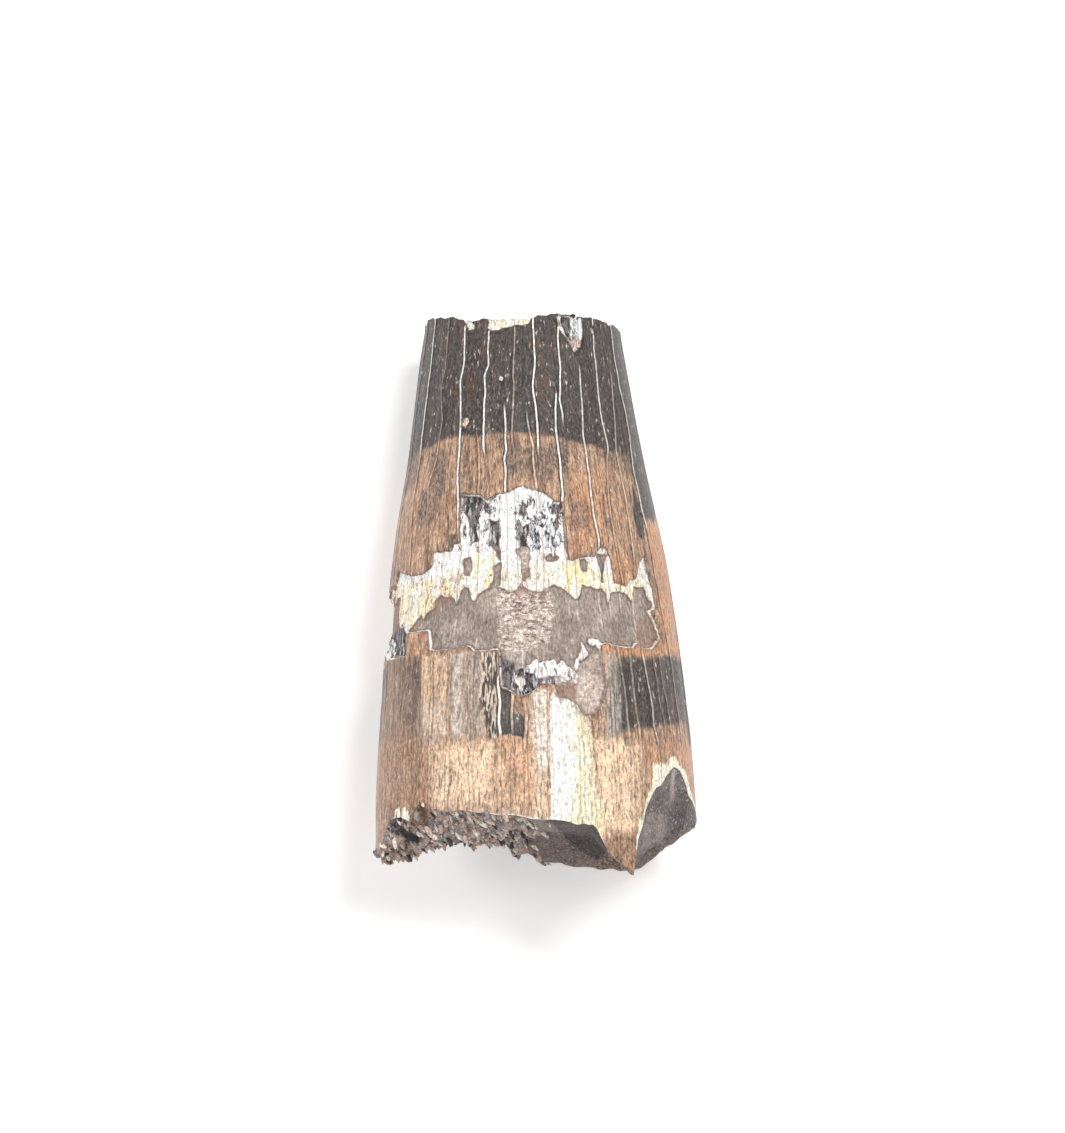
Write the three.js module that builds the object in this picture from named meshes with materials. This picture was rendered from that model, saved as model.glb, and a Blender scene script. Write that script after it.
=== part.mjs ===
// A fossil baryonyx tooth: the crown's stump, broken off at both ends and lying on its side, as one solid.
// Millimetres, +Z up. The narrow broken tip points along +Y, and the root break faces -Y.
// Points on the crown are given by an angle round it and a distance along its axis.
// Angle 0 is the ridge of the back, on top, and +90 degrees is the side at +X.

import * as THREE from "three";

// Driving dimensions
const crownLength = 26.4;
const halfWidths = [
  [0, 7.5],
  [4, 7.45],
  [8, 7.15],
  [12, 6.8],
  [16, 6.27],
  [20, 5.55],
  [24, 4.95],
  [26.4, 4.58],
];
const depthToWidth = 0.86;
const tipLean = 0.7;
const axisTilt = THREE.MathUtils.degToRad(5.4);
const flatSpotDepth = 0.3;
// Slow unevenness of the whole surface
const swell = { height: 0.04, size: 2.5 };

// Ridges: degrees round the crown of the ones that show, then an even spacing round the back
const frontRidges = [-76, -62, -46, -32.5, -19.5, -6, 6, 20, 33, 45, 56, 68, 82];
const backRidgeCount = 15;
const ridgeHeight = 0.1;
const ridgeHalfAngle = 1.6;
const ridgeFade = { from: 7, to: 13 };
// Where the root break's edge turns a corner away from any ridge, in degrees
const rimCorners = [24, 36.3, 37.8, 41.5, 59.3, 71.7];

// The root break: [degrees, millimetres along the axis] round the crown's edge
const rootBreak = [
  [-180, 2.1],
  [-176, 2.4],
  [-170.5, 2.75],
  [-166.5, 3.1],
  [-151, 3.05],
  [-147, 2.8],
  [-142, 2.55],
  [-137.5, 2.7],
  [-132.5, 2.65],
  [-129, 2.3],
  [-121, 1.9],
  [-112, 1.7],
  [-90, 1.55],
  [-76, 1.55],
  [-71, 1.9],
  [-67, 2.35],
  [-63.5, 2.9],
  [-56, 2.98],
  [-51, 2.72],
  [-47, 3.3],
  [-45, 3.5],
  [-42, 3.16],
  [-20.5, 2.88],
  [-2, 2.59],
  [20, 2.27],
  [21.5, 2.05],
  [25.5, 1.14],
  [30, 0.7],
  [36, 0.15],
  [45, 0.8],
  [60, 1.7],
  [75, 2.6],
  [90, 3.1],
  [114.5, 2.68],
  [125.5, 2.28],
  [134, 1.73],
  [139, 1.44],
  [148, 1.35],
  [165.5, 1.67],
  [171.5, 1.78],
  [178, 1.9],
  [180, 2.1],
];
// The flake struck off the corner beside the longest tongue
const flakeScar = [
  [36, 0.15],
  [37.4, 1.26],
  [38.2, 1.8],
  [40, 2.3],
  [41.8, 3.17],
  [45, 3.83],
  [47.3, 4.2],
  [49.9, 4.32],
  [53.3, 4.78],
  [57.4, 5.14],
  [59.2, 5.27],
  [61.4, 5.27],
  [64.4, 5.12],
  [68.4, 4.61],
  [70.7, 4.11],
  [77.6, 3.79],
  [84.3, 3.37],
  [96, 3.05],
];
const flakeSteepness = 5;
const rootFace = { level: 2.5, fallToBack: 0.45, riseToRight: 0.35, rimShare: 0.6 };
const pulpHollow = { depth: 0.8, across: -0.25, up: -0.1, radius: 0.65 };
const crumbs = { height: 0.3, size: 1.5 };

// The tip break: [degrees, millimetres past the crown's length]
const tipBreak = [
  [-180, 0],
  [-110, 0.2],
  [-66, 0.25],
  [-45, 0.08],
  [-39, -0.08],
  [-33, -0.2],
  [4, -0.26],
  [9, -0.1],
  [15, -0.02],
  [33, 0.04],
  [46, 0.02],
  [60, -0.05],
  [90, -0.05],
  [180, 0],
];
const tipDish = { depth: 0.3, rough: 0.2, size: 1.2 };

// Places where layers have flaked off, drawn as the photograph shows them from above:
// millimetres to the right of the crown's middle and up from the tip of the tongue.
const viewLean = THREE.MathUtils.degToRad(9.5);
const tongueHeight = 5.23;
const enamelLost = [
  [-7.4, 12.6],
  [-6.7, 12.8],
  [-6.4, 13.9],
  [-5.4, 13.8],
  [-4.9, 14.3],
  [-4.9, 14.9],
  [-3.9, 15.0],
  [-3.6, 15.3],
  [-3.5, 17.6],
  [-2.3, 17.3],
  [-1.8, 17.6],
  [-0.7, 17.9],
  [0.7, 17.4],
  [1.2, 17.2],
  [1.3, 16.5],
  [1.5, 14.5],
  [2.4, 14.7],
  [3.1, 15.1],
  [3.6, 14.5],
  [3.7, 13.5],
  [4.3, 13.3],
  [4.8, 13.6],
  [5.1, 14.7],
  [5.3, 13.6],
  [5.7, 12.1],
  [5.8, 10.9],
  [5.5, 10.3],
  [4.6, 10.3],
  [3.1, 10.5],
  [3.4, 8.7],
  [3.1, 7.6],
  [2.3, 7.2],
  [1.8, 7.9],
  [1.0, 8.0],
  [0.9, 8.7],
  [-0.5, 8.2],
  [-1.1, 8.3],
  [-1.7, 8.6],
  [-1.8, 10.3],
  [-3.3, 10.5],
  [-5.1, 10.3],
  [-5.1, 11.2],
  [-6.1, 11.1],
  [-6.2, 10.0],
  [-7.5, 9.8],
];
const enamelThickness = 0.22;
// The white layer under the enamel is gone too below this line
const whiteLayerEdge = [
  [-6.0, 11.5],
  [-5.3, 12.0],
  [-4.9, 12.6],
  [-4.0, 12.8],
  [-3.4, 13.3],
  [-2.9, 12.6],
  [-2.2, 13.5],
  [-1.4, 13.0],
  [-0.7, 13.5],
  [0.1, 13.0],
  [1.0, 13.3],
  [1.9, 12.7],
  [2.2, 13.4],
  [3.3, 13.1],
  [3.5, 12.5],
  [4.4, 12.9],
  [4.7, 12.6],
  [5.2, 13.2],
];
const whiteLayerThickness = 0.2;
// The chip out of the tip's rim
const tipChip = [
  [1.0, 26.2],
  [2.2, 26.2],
  [2.1, 24.5],
  [1.7, 24.2],
  [1.1, 25.2],
];
// The band of lost enamel runs round the left side and closes: degrees, then its lower and upper edge
const bandRoundSide = [
  [-135, 12.6, 12.6],
  [-118, 11.6, 13.4],
  [-100, 11.0, 13.8],
  [-76, 10.7, 13.7],
];

const { lerp, smoothstep } = THREE.MathUtils;
const toDegrees = THREE.MathUtils.radToDeg;

// A list of points read as a curve that passes through each one
function smoothThrough(points, x) {
  const last = points.length - 1;
  if (x <= points[0][0]) return points[0][1];
  if (x >= points[last][0]) return points[last][1];
  const after = points.findIndex(([at]) => at > x);
  const slopeAt = (k) => {
    const from = points[Math.max(k - 1, 0)];
    const to = points[Math.min(k + 1, last)];
    return (to[1] - from[1]) / (to[0] - from[0]);
  };
  const [x0, y0] = points[after - 1];
  const [x1, y1] = points[after];
  const span = x1 - x0;
  const t = (x - x0) / span;
  const ease = t * t * (3 - 2 * t);
  const early = t * (1 - t) * (1 - t) * span * slopeAt(after - 1);
  const late = t * t * (t - 1) * span * slopeAt(after);
  return lerp(y0, y1, ease) + early + late;
}

// The same list read as straight lines between corners
function straightThrough(points, x, column = 1) {
  const after = points.findIndex(([at]) => at > x);
  if (after === 0) return points[0][column];
  if (after < 0) return points.at(-1)[column];
  const t = (x - points[after - 1][0]) / (points[after][0] - points[after - 1][0]);
  return lerp(points[after - 1][column], points[after][column], t);
}

// Smooth noise from -1 to 1 at a point in millimetres, with lumps of about the given size
function lumps(x, y, z, size) {
  const at = [x / size, y / size, z / size];
  const cell = at.map(Math.floor);
  const [u, v, w] = at.map((value, i) => smoothstep(value - cell[i], 0, 1));
  const corner = (i, j, k) => {
    const mixed = Math.sin((cell[0] + i) * 127.1 + (cell[1] + j) * 311.7 + (cell[2] + k) * 74.7);
    return ((Math.abs(mixed) * 43758.5453) % 1) * 2 - 1;
  };
  const edge = (j, k) => lerp(corner(0, j, k), corner(1, j, k), u);
  return lerp(lerp(edge(0, 0), edge(1, 0), v), lerp(edge(0, 1), edge(1, 1), v), w);
}

function isInside(outline, [x, y]) {
  let inside = false;
  outline.forEach(([x1, y1], i) => {
    const [x2, y2] = outline[(i + 1) % outline.length];
    if (y1 > y !== y2 > y && x < x1 + ((x2 - x1) * (y - y1)) / (y2 - y1)) inside = !inside;
  });
  return inside;
}

// The crown's form
const halfWidthAt = (along) => smoothThrough(halfWidths, along);
const leanAt = (along) => -tipLean * smoothstep(along, 0, crownLength * 1.15);

// A point of the cross-section: across to +X, up towards the back, and along the axis to the tip
function inRoom(across, up, along) {
  const cos = Math.cos(axisTilt);
  const sin = Math.sin(axisTilt);
  return new THREE.Vector3(across, along * cos + up * sin, up * cos - along * sin);
}

function sectionPoint(angle, along, share = 1, lift = 0) {
  const halfWidth = halfWidthAt(along);
  const across = leanAt(along) + (halfWidth * share + lift) * Math.sin(angle);
  const up = (depthToWidth * halfWidth * share + lift) * Math.cos(angle);
  return [across, up];
}

function seenFromAbove(angle, along) {
  const [across, up] = sectionPoint(angle, along);
  return [across, along * Math.cos(viewLean) + (up - tongueHeight) * Math.sin(viewLean)];
}

// Ridges round the whole crown, which fade out towards the root
const ridgeAngles = [...frontRidges];
const backSpan = 360 + frontRidges[0] - frontRidges.at(-1);
for (let i = 1; i <= backRidgeCount; i++) {
  ridgeAngles.push(frontRidges.at(-1) + (backSpan * i) / (backRidgeCount + 1));
}

// Each ridge has a crest between two feet, and a furrow halfway to the next one
const ridgeColumns = ridgeAngles.flatMap((crest, i) => {
  const next = i + 1 < ridgeAngles.length ? ridgeAngles[i + 1] : ridgeAngles[0] + 360;
  return [
    { degrees: crest - ridgeHalfAngle, crest: 0 },
    { degrees: crest, crest: 1 },
    { degrees: crest + ridgeHalfAngle, crest: 0 },
    { degrees: (crest + next) / 2, crest: 0 },
  ];
});
const cornerColumns = rimCorners.map((degrees) => ({ degrees, crest: 0 }));
const columns = [...ridgeColumns, ...cornerColumns].sort((a, b) => a.degrees - b.degrees);

// How far the surface has sunk where layers are gone
function flakedDepth(angle, along) {
  const degrees = toDegrees(Math.atan2(Math.sin(angle), Math.cos(angle)));
  if (degrees < bandRoundSide.at(-1)[0]) {
    const low = straightThrough(bandRoundSide, degrees, 1);
    const high = straightThrough(bandRoundSide, degrees, 2);
    return along > low && along < high ? enamelThickness : 0;
  }
  if (Math.cos(angle) < 0) return 0;
  const seen = seenFromAbove(angle, along);
  if (isInside(tipChip, seen)) return whiteLayerThickness;
  if (!isInside(enamelLost, seen)) return 0;
  const whiteGone = seen[0] > whiteLayerEdge[0][0] && seen[1] < straightThrough(whiteLayerEdge, seen[0]);
  return enamelThickness + (whiteGone ? whiteLayerThickness : 0);
}

function crownLift(column, along) {
  const angle = THREE.MathUtils.degToRad(column.degrees);
  const [across, up] = sectionPoint(angle, along);
  const sunk = flakedDepth(angle, along);
  const ridge = sunk > 0 ? 0 : column.crest * ridgeHeight * smoothstep(along, ridgeFade.from, ridgeFade.to);
  return ridge - sunk + swell.height * lumps(across, up, along, swell.size);
}

// The breaks
const wrapped = (degrees) => ((((degrees + 180) % 360) + 360) % 360) - 180;
const breakAt = (degrees) => straightThrough(rootBreak, wrapped(degrees));
const tipEdgeAt = (degrees) => crownLength + straightThrough(tipBreak, wrapped(degrees));

function scarAt(degrees) {
  const turned = wrapped(degrees);
  const reaches = turned > flakeScar[0][0] && turned < flakeScar.at(-1)[0];
  return reaches ? straightThrough(flakeScar, turned) : 0;
}

const rootEdgeAt = (degrees) => Math.max(breakAt(degrees), scarAt(degrees));

// The broken root face: nearly flat and crumbly, hollow at the pulp, and turned up or down at the rim
function rootFaceAt(degrees, share) {
  const angle = THREE.MathUtils.degToRad(degrees);
  const across = share * Math.sin(angle);
  const up = share * Math.cos(angle);
  const fromPulp = Math.hypot(across - pulpHollow.across, up - pulpHollow.up) / pulpHollow.radius;
  const hollow = pulpHollow.depth * (1 - smoothstep(fromPulp, 0, 1));
  const width = halfWidths[0][1];
  const crumb = crumbs.height * lumps(across * width, up * width * depthToWidth, 0, crumbs.size);
  const tilt = rootFace.riseToRight * across - rootFace.fallToBack * up;
  const middle = rootFace.level + tilt + hollow + crumb;
  const face = lerp(middle, breakAt(degrees), smoothstep(share, rootFace.rimShare, 1));
  const scar = scarAt(degrees) - flakeSteepness * (1 - share) * width;
  return Math.max(face, scar);
}

// The broken tip: nearly square to the axis and a little dished
function tipFaceAt(degrees, share) {
  const angle = THREE.MathUtils.degToRad(degrees);
  const [across, up] = sectionPoint(angle, crownLength, share);
  const dish = tipDish.depth + tipDish.rough * lumps(across, up, 9, tipDish.size);
  return lerp(crownLength, tipEdgeAt(degrees), share ** 2) - (1 - share) * dish;
}

// Rows from the root break to the tip break, closer together where layers have flaked off
const rowStretches = [
  { from: 0, to: 6, rows: 8 },
  { from: 6, to: 10, rows: 5 },
  { from: 10, to: 20, rows: 15 },
  { from: 20, to: crownLength, rows: 6 },
];
const rows = [0];
for (const { from, to, rows: count } of rowStretches) {
  for (let i = 1; i <= count; i++) rows.push(lerp(from, to, i / count));
}
const rootReach = 9;
const tipReach = 2.5;
// Rings across each break, as shares of the way from its middle to its rim
const rootRings = [0.3, 0.58, 0.8, 0.92, 0.97];
const tipRings = [0.86, 0.4];

function alongAt(row, degrees) {
  const rootShare = 1 - smoothstep(row, 0, rootReach);
  const tipShare = smoothstep(row, crownLength - tipReach, crownLength);
  return row + rootEdgeAt(degrees) * rootShare + (tipEdgeAt(degrees) - crownLength) * tipShare;
}

// The tooth's surface is a stack of rings, closed at each end by a point in the middle of the break
function toothRings() {
  const rings = [];
  for (const share of rootRings) {
    rings.push(
      columns.map(({ degrees }) => {
        const along = rootFaceAt(degrees, share);
        const angle = THREE.MathUtils.degToRad(degrees);
        return inRoom(...sectionPoint(angle, along, share), along);
      }),
    );
  }
  for (const row of rows) {
    rings.push(
      columns.map((column) => {
        const along = alongAt(row, column.degrees);
        const angle = THREE.MathUtils.degToRad(column.degrees);
        return inRoom(...sectionPoint(angle, along, 1, crownLift(column, along)), along);
      }),
    );
  }
  for (const share of tipRings) {
    rings.push(
      columns.map(({ degrees }) => {
        const along = tipFaceAt(degrees, share);
        const angle = THREE.MathUtils.degToRad(degrees);
        return inRoom(...sectionPoint(angle, along, share), along);
      }),
    );
  }
  return rings;
}

function closedSurface(rings, firstPole, lastPole) {
  const count = columns.length;
  const points = [firstPole, ...rings.flat(), lastPole];
  const faces = [];
  const at = (ring, column) => 1 + ring * count + (column % count);
  for (let column = 0; column < count; column++) {
    faces.push(0, at(0, column + 1), at(0, column));
    for (let ring = 0; ring + 1 < rings.length; ring++) {
      const [a, b] = [at(ring, column), at(ring, column + 1)];
      const [c, d] = [at(ring + 1, column), at(ring + 1, column + 1)];
      faces.push(a, d, c, a, b, d);
    }
    faces.push(at(rings.length - 1, column), at(rings.length - 1, column + 1), points.length - 1);
  }
  const geometry = new THREE.BufferGeometry().setFromPoints(points);
  geometry.setIndex(faces);
  return geometry;
}

// The belly is worn to a small flat spot, on which the tooth rests
function restOnFlatSpot(geometry) {
  geometry.computeBoundingBox();
  const floor = geometry.boundingBox.min.z + flatSpotDepth;
  const position = geometry.getAttribute("position");
  for (let i = 0; i < position.count; i++) {
    if (position.getZ(i) < floor) position.setZ(i, floor);
  }
  geometry.computeBoundingBox();
  const { min, max } = geometry.boundingBox;
  geometry.translate(-(min.x + max.x) / 2, -(min.y + max.y) / 2, -floor);
}

function makeTooth() {
  const rootPole = inRoom(leanAt(0), 0, rootFaceAt(0, 0));
  const tipPole = inRoom(leanAt(crownLength), 0, tipFaceAt(0, 0));
  const geometry = closedSurface(toothRings(), rootPole, tipPole);
  restOnFlatSpot(geometry);
  geometry.computeVertexNormals();
  const enamel = new THREE.MeshStandardMaterial({ color: 0xa9805c, roughness: 0.35, metalness: 0 });
  const tooth = new THREE.Mesh(geometry, enamel);
  tooth.name = "tooth";
  return tooth;
}

const fossil = new THREE.Group();
fossil.add(makeTooth());

export default fossil;
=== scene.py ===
# %% [markdown]
# # A fossil baryonyx tooth
#
# The object is the stump of a tooth crown, 26 mm long, broken off at both ends. It lies on its
# side on a pale table, and the camera looks down on it. The solid model gives its size and place.
# This lesson dresses it: a dense mesh with the ridges, the flaked layers and both breaks in real
# relief, and procedural finishes for enamel, the white layer, dentine and sediment.
#
# Lengths are millimetres while the shape is worked out, and become metres when a mesh is made.

# %% Load the frame
import math

import bpy
import numpy as np
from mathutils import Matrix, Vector


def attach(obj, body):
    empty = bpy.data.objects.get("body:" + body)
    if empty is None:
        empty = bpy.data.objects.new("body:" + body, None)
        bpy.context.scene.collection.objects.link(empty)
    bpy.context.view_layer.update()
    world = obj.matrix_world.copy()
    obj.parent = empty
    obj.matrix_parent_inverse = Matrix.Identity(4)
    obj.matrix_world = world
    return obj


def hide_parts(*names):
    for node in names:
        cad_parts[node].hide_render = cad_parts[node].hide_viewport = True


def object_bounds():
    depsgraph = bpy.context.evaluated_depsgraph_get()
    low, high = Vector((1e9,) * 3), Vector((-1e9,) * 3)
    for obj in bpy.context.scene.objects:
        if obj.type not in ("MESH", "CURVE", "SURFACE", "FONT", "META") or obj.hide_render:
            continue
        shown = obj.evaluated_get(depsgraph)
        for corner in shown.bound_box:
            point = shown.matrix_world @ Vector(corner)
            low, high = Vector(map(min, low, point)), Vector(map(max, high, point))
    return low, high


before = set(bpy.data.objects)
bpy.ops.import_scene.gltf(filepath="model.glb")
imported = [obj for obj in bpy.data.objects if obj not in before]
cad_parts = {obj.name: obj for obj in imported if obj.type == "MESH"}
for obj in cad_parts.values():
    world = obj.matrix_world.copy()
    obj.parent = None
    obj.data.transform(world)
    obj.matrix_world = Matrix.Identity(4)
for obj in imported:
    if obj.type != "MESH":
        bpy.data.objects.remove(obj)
cad_box = [list(corner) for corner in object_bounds()]
box_low, box_high = np.array(cad_box) * 1000
print("solid's box, mm:", box_low.round(2), box_high.round(2))

# %% [markdown]
# ## Curves through a few measured points
#
# A tooth has no straight lines, but its outline needs few points. Two readers turn a short list
# into a curve: one runs smoothly through the points, which suits the swelling of the crown, and
# one keeps its corners, which suits a broken edge.


# %% Two ways to read a list of points
def smooth_through(points, x):
    at, value = np.array(points, float).T
    last = len(at) - 1
    before = np.maximum(np.arange(last + 1) - 1, 0)
    after = np.minimum(np.arange(last + 1) + 1, last)
    slope = (value[after] - value[before]) / (at[after] - at[before])
    x = np.clip(x, at[0], at[-1])
    k = np.clip(np.searchsorted(at, x, side="right") - 1, 0, last - 1)
    span = at[k + 1] - at[k]
    t = (x - at[k]) / span
    ease = t * t * (3 - 2 * t)
    early = t * (1 - t) ** 2 * span * slope[k]
    late = t * t * (t - 1) * span * slope[k + 1]
    return value[k] * (1 - ease) + value[k + 1] * ease + early + late


def straight_through(points, x):
    at, value = np.array(points, float).T
    return np.interp(x, at, value)


def smoothstep(low, high, x):
    t = np.clip((x - low) / (high - low), 0, 1)
    return t * t * (3 - 2 * t)


def mix(a, b, share):
    return a + (b - a) * share


# %% [markdown]
# ## Roughness that is the same on every run
#
# Chips and crumbs look natural when they follow a random field, but the file has to give the
# same tooth each time. Value noise does that: each corner of an invisible grid gets a fixed
# number from its own coordinates, and the points between are blended smoothly.


# %% Value noise
def lumps(points, size, seed=0):
    """Smooth noise from -1 to 1 at an array of points, with lumps of about the given size in mm."""
    at = np.asarray(points, float) / size
    cell = np.floor(at)
    u = at - cell
    u = u * u * (3 - 2 * u)
    total = 0
    for corner in np.ndindex(2, 2, 2):
        k = cell + corner
        mixed = np.abs(np.sin(k[..., 0] * 127.1 + k[..., 1] * 311.7 + k[..., 2] * 74.7 + seed * 19.3))
        weight = np.prod(np.where(corner, u, 1 - u), axis=-1)
        total = total + weight * ((mixed * 43758.5453) % 1 * 2 - 1)
    return total


def rough(points, size, layers=3, seed=0):
    """Noise with finer noise on it, each layer half the size and a bit over half the height."""
    return sum(lumps(points, size / 2**i, seed + i) * 0.55**i for i in range(layers))


print("noise at a test point:", round(float(rough([[0.3, 0.2, 0.1]], 1.0)[0]), 3))

# %% [markdown]
# ## The form of the crown
#
# The crown is an oval tube that narrows towards the tip and leans a little to the left. A point
# on it has two coordinates: an angle round the crown, 0 on the upper side and 90 degrees on the
# right, and a distance along the axis from the longest point of the root break. These are the
# solid's own driving sizes, so both models have one form.

# %% Sizes of the crown
CROWN_LENGTH = 26.4
HALF_WIDTHS = [
    (0, 7.5), (4, 7.45), (8, 7.15), (12, 6.8), (16, 6.27), (20, 5.55), (24, 4.95), (26.4, 4.58),
]
DEPTH_TO_WIDTH = 0.86
TIP_LEAN = 0.7
AXIS_TILT = math.radians(5.4)
FLAT_SPOT_DEPTH = 0.3


def section(angle, along, share=1.0, lift=0.0):
    """Across and up from the crown's axis, at a share of the way out and a lift above the surface."""
    half_width = smooth_through(HALF_WIDTHS, along)
    lean = -TIP_LEAN * smoothstep(0, CROWN_LENGTH * 1.15, along)
    across = lean + (half_width * share + lift) * np.sin(angle)
    up = (DEPTH_TO_WIDTH * half_width * share + lift) * np.cos(angle)
    return across, up


def lying_down(angle, along, share=1.0, lift=0.0):
    """The same point with the crown lying on its side, tip towards +Y."""
    across, up = section(angle, along, share, lift)
    y = along * math.cos(AXIS_TILT) + up * math.sin(AXIS_TILT)
    z = up * math.cos(AXIS_TILT) - along * math.sin(AXIS_TILT)
    return np.stack([across, y, z], axis=-1)


print("crown:", CROWN_LENGTH, "mm long,", 2 * HALF_WIDTHS[0][1], "to", 2 * HALF_WIDTHS[-1][1], "mm wide")

# %% [markdown]
# ## The two breaks
#
# The root end broke unevenly: a long tongue at the right of the middle, a bite at the left, and a
# flake struck off the corner beside the tongue. Each edge is a short list of degrees round the
# crown and millimetres along it, and gets its small chips from the noise.

# %% The edges of both breaks
ROOT_BREAK = [
    (-180, 2.1), (-176, 2.4), (-170.5, 2.75), (-166.5, 3.1), (-151, 3.05), (-147, 2.8), (-142, 2.55),
    (-137.5, 2.7), (-132.5, 2.65), (-129, 2.3), (-121, 1.9), (-112, 1.7), (-90, 1.55), (-76, 1.55),
    (-71, 1.9), (-67, 2.35), (-63.5, 2.9), (-56, 2.98), (-51, 2.72), (-47, 3.3), (-45, 3.5),
    (-42, 3.16), (-20.5, 2.88), (-2, 2.59), (20, 2.27), (21.5, 2.05), (25.5, 1.14), (30, 0.7),
    (36, 0.15), (45, 0.8), (60, 1.7), (75, 2.6), (90, 3.1), (114.5, 2.68), (125.5, 2.28), (134, 1.73),
    (139, 1.44), (148, 1.35), (165.5, 1.67), (171.5, 1.78), (178, 1.9), (180, 2.1),
]
FLAKE_SCAR = [
    (36, 0.15), (37.4, 1.26), (38.2, 1.8), (40, 2.3), (41.8, 3.17), (45, 3.83), (47.3, 4.2),
    (49.9, 4.32), (53.3, 4.78), (57.4, 5.14), (59.2, 5.27), (61.4, 5.27), (64.4, 5.12), (68.4, 4.61),
    (70.7, 4.11), (77.6, 3.79), (84.3, 3.37), (96, 3.05),
]
FLAKE_STEEPNESS = 5
TIP_BREAK = [
    (-180, 0), (-110, 0.2), (-66, 0.25), (-45, 0.08), (-39, -0.08), (-33, -0.2), (4, -0.26), (9, -0.1),
    (15, -0.02), (33, 0.04), (46, 0.02), (60, -0.05), (90, -0.05), (180, 0),
]
CHIP_HEIGHT, CHIP_SIZE = 0.07, 0.6
ROOT_HALF_WIDTH, ROOT_HALF_DEPTH = 7.5, 6.45


def wrapped(angle):
    return (np.degrees(angle) + 180) % 360 - 180


def chips(angle, seed):
    """Small unevenness of a broken edge, up to about a tenth of a millimetre."""
    rim = np.stack([ROOT_HALF_WIDTH * np.sin(angle), ROOT_HALF_WIDTH * np.cos(angle), 0 * angle], -1)
    return CHIP_HEIGHT * rough(rim, CHIP_SIZE, 3, seed)


def break_edge(angle):
    return straight_through(ROOT_BREAK, wrapped(angle)) + chips(angle, 31)


def scar_edge(angle):
    degrees = wrapped(angle)
    struck = (degrees > FLAKE_SCAR[0][0]) & (degrees < FLAKE_SCAR[-1][0])
    return np.where(struck, straight_through(FLAKE_SCAR, degrees), 0)


def root_edge(angle):
    return np.maximum(break_edge(angle), scar_edge(angle))


def tip_edge(angle):
    return CROWN_LENGTH + straight_through(TIP_BREAK, wrapped(angle)) + chips(angle, 37)


root_reading = root_edge(np.radians(np.arange(360)))
print("root edge from", root_reading.min().round(2), "to", root_reading.max().round(2), "mm along")

# %% [markdown]
# ## Setting the crown in its place
#
# The solid stands with its box centred on the origin and its worn belly on the table. The shift
# that brings the crown there comes from a plain grid of the same form.


# %% The shift into the solid's box
def place_in_box():
    angle = np.radians(np.linspace(-180, 180, 721))
    rows = np.linspace(0, 1, 120)[:, None]
    along = mix(root_edge(angle), tip_edge(angle), rows)
    points = lying_down(angle, along).reshape(-1, 3)
    low, high = points.min(axis=0), points.max(axis=0)
    middle = (box_low + box_high) / 2 - (low + high) / 2
    return np.array([middle[0], middle[1], -(low[2] + FLAT_SPOT_DEPTH)])


SHIFT = place_in_box()


def crown_point(angle, along, share=1.0, lift=0.0):
    return lying_down(angle, along, share, lift) + SHIFT


print("shift into the box, mm:", SHIFT.round(3))

# %% [markdown]
# ## The camera
#
# The photograph looks almost straight down, leaning a little towards the root so that part of
# the broken face shows. The camera is set first because the outlines below were read off the
# photograph in its pixels, and the same numbers carry them onto the crown.

# %% Camera
PHOTO_WIDTH, PHOTO_HEIGHT = 1065, 1133
PIXELS_PER_MM = 21.4
CAMERA_ELEVATION = math.radians(86)
CAMERA_DISTANCE = 220.0
SENSOR_HEIGHT = 24.0
AIM = np.array([-0.16, 1.35, 6.0])
forward = np.array([0, math.cos(CAMERA_ELEVATION), -math.sin(CAMERA_ELEVATION)])
upward = np.array([0, math.sin(CAMERA_ELEVATION), math.cos(CAMERA_ELEVATION)])
camera_place = AIM - forward * CAMERA_DISTANCE
focal_pixels = PIXELS_PER_MM * CAMERA_DISTANCE

camera_data = bpy.data.cameras.new("camera")
camera_data.sensor_fit = "VERTICAL"
camera_data.sensor_height = SENSOR_HEIGHT
camera_data.lens = focal_pixels * SENSOR_HEIGHT / PHOTO_HEIGHT
camera_data.clip_start = 0.01
camera = bpy.data.objects.new("camera", camera_data)
camera.location = camera_place / 1000
camera.rotation_euler = (math.pi / 2 - CAMERA_ELEVATION, 0, 0)
bpy.context.scene.collection.objects.link(camera)
bpy.context.scene.camera = camera
print("lens, mm:", round(camera_data.lens, 1))


# %% From the crown to the photograph, and back
CLOSING_STEPS = 25
WIDEST_SINE = 0.9995


def photo_pixel(points):
    seen = points - camera_place
    depth = seen @ forward
    x = PHOTO_WIDTH / 2 + focal_pixels * seen[..., 0] / depth
    y = PHOTO_HEIGHT / 2 - focal_pixels * (seen @ upward) / depth
    return x, y


def on_crown(pixels):
    """Angle and distance along the crown under each photograph pixel, found by stepping closer."""
    want_x, want_y = np.array(pixels, float).T
    sine = np.zeros(len(want_x))
    along = np.full(len(want_x), CROWN_LENGTH / 2)
    for _ in range(CLOSING_STEPS):
        x, y = photo_pixel(crown_point(np.arcsin(sine), along))
        reach = smooth_through(HALF_WIDTHS, along) * PIXELS_PER_MM
        sine = np.clip(sine + (want_x - x) / reach, -WIDEST_SINE, WIDEST_SINE)
        along = np.clip(along - (want_y - y) / PIXELS_PER_MM, 0, CROWN_LENGTH)
    return np.arcsin(sine), along


PHOTO_MIDDLE = (532, 566)
middle_along = on_crown([PHOTO_MIDDLE])[1]
print("middle of the photo, mm along the crown:", round(float(middle_along[0]), 2))

# %% [markdown]
# ## Ridges
#
# Enamel of this kind of tooth is pleated into fine ridges that run to the tip. Worn crests show
# as pale threads. Each ridge was followed with a few points, from the tip down, and has one to
# three stretches where it shows: a brightness and the photograph's rows between which it does. A
# ridge goes on past its last point at the same angle. Round the back they are evenly spaced.

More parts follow.
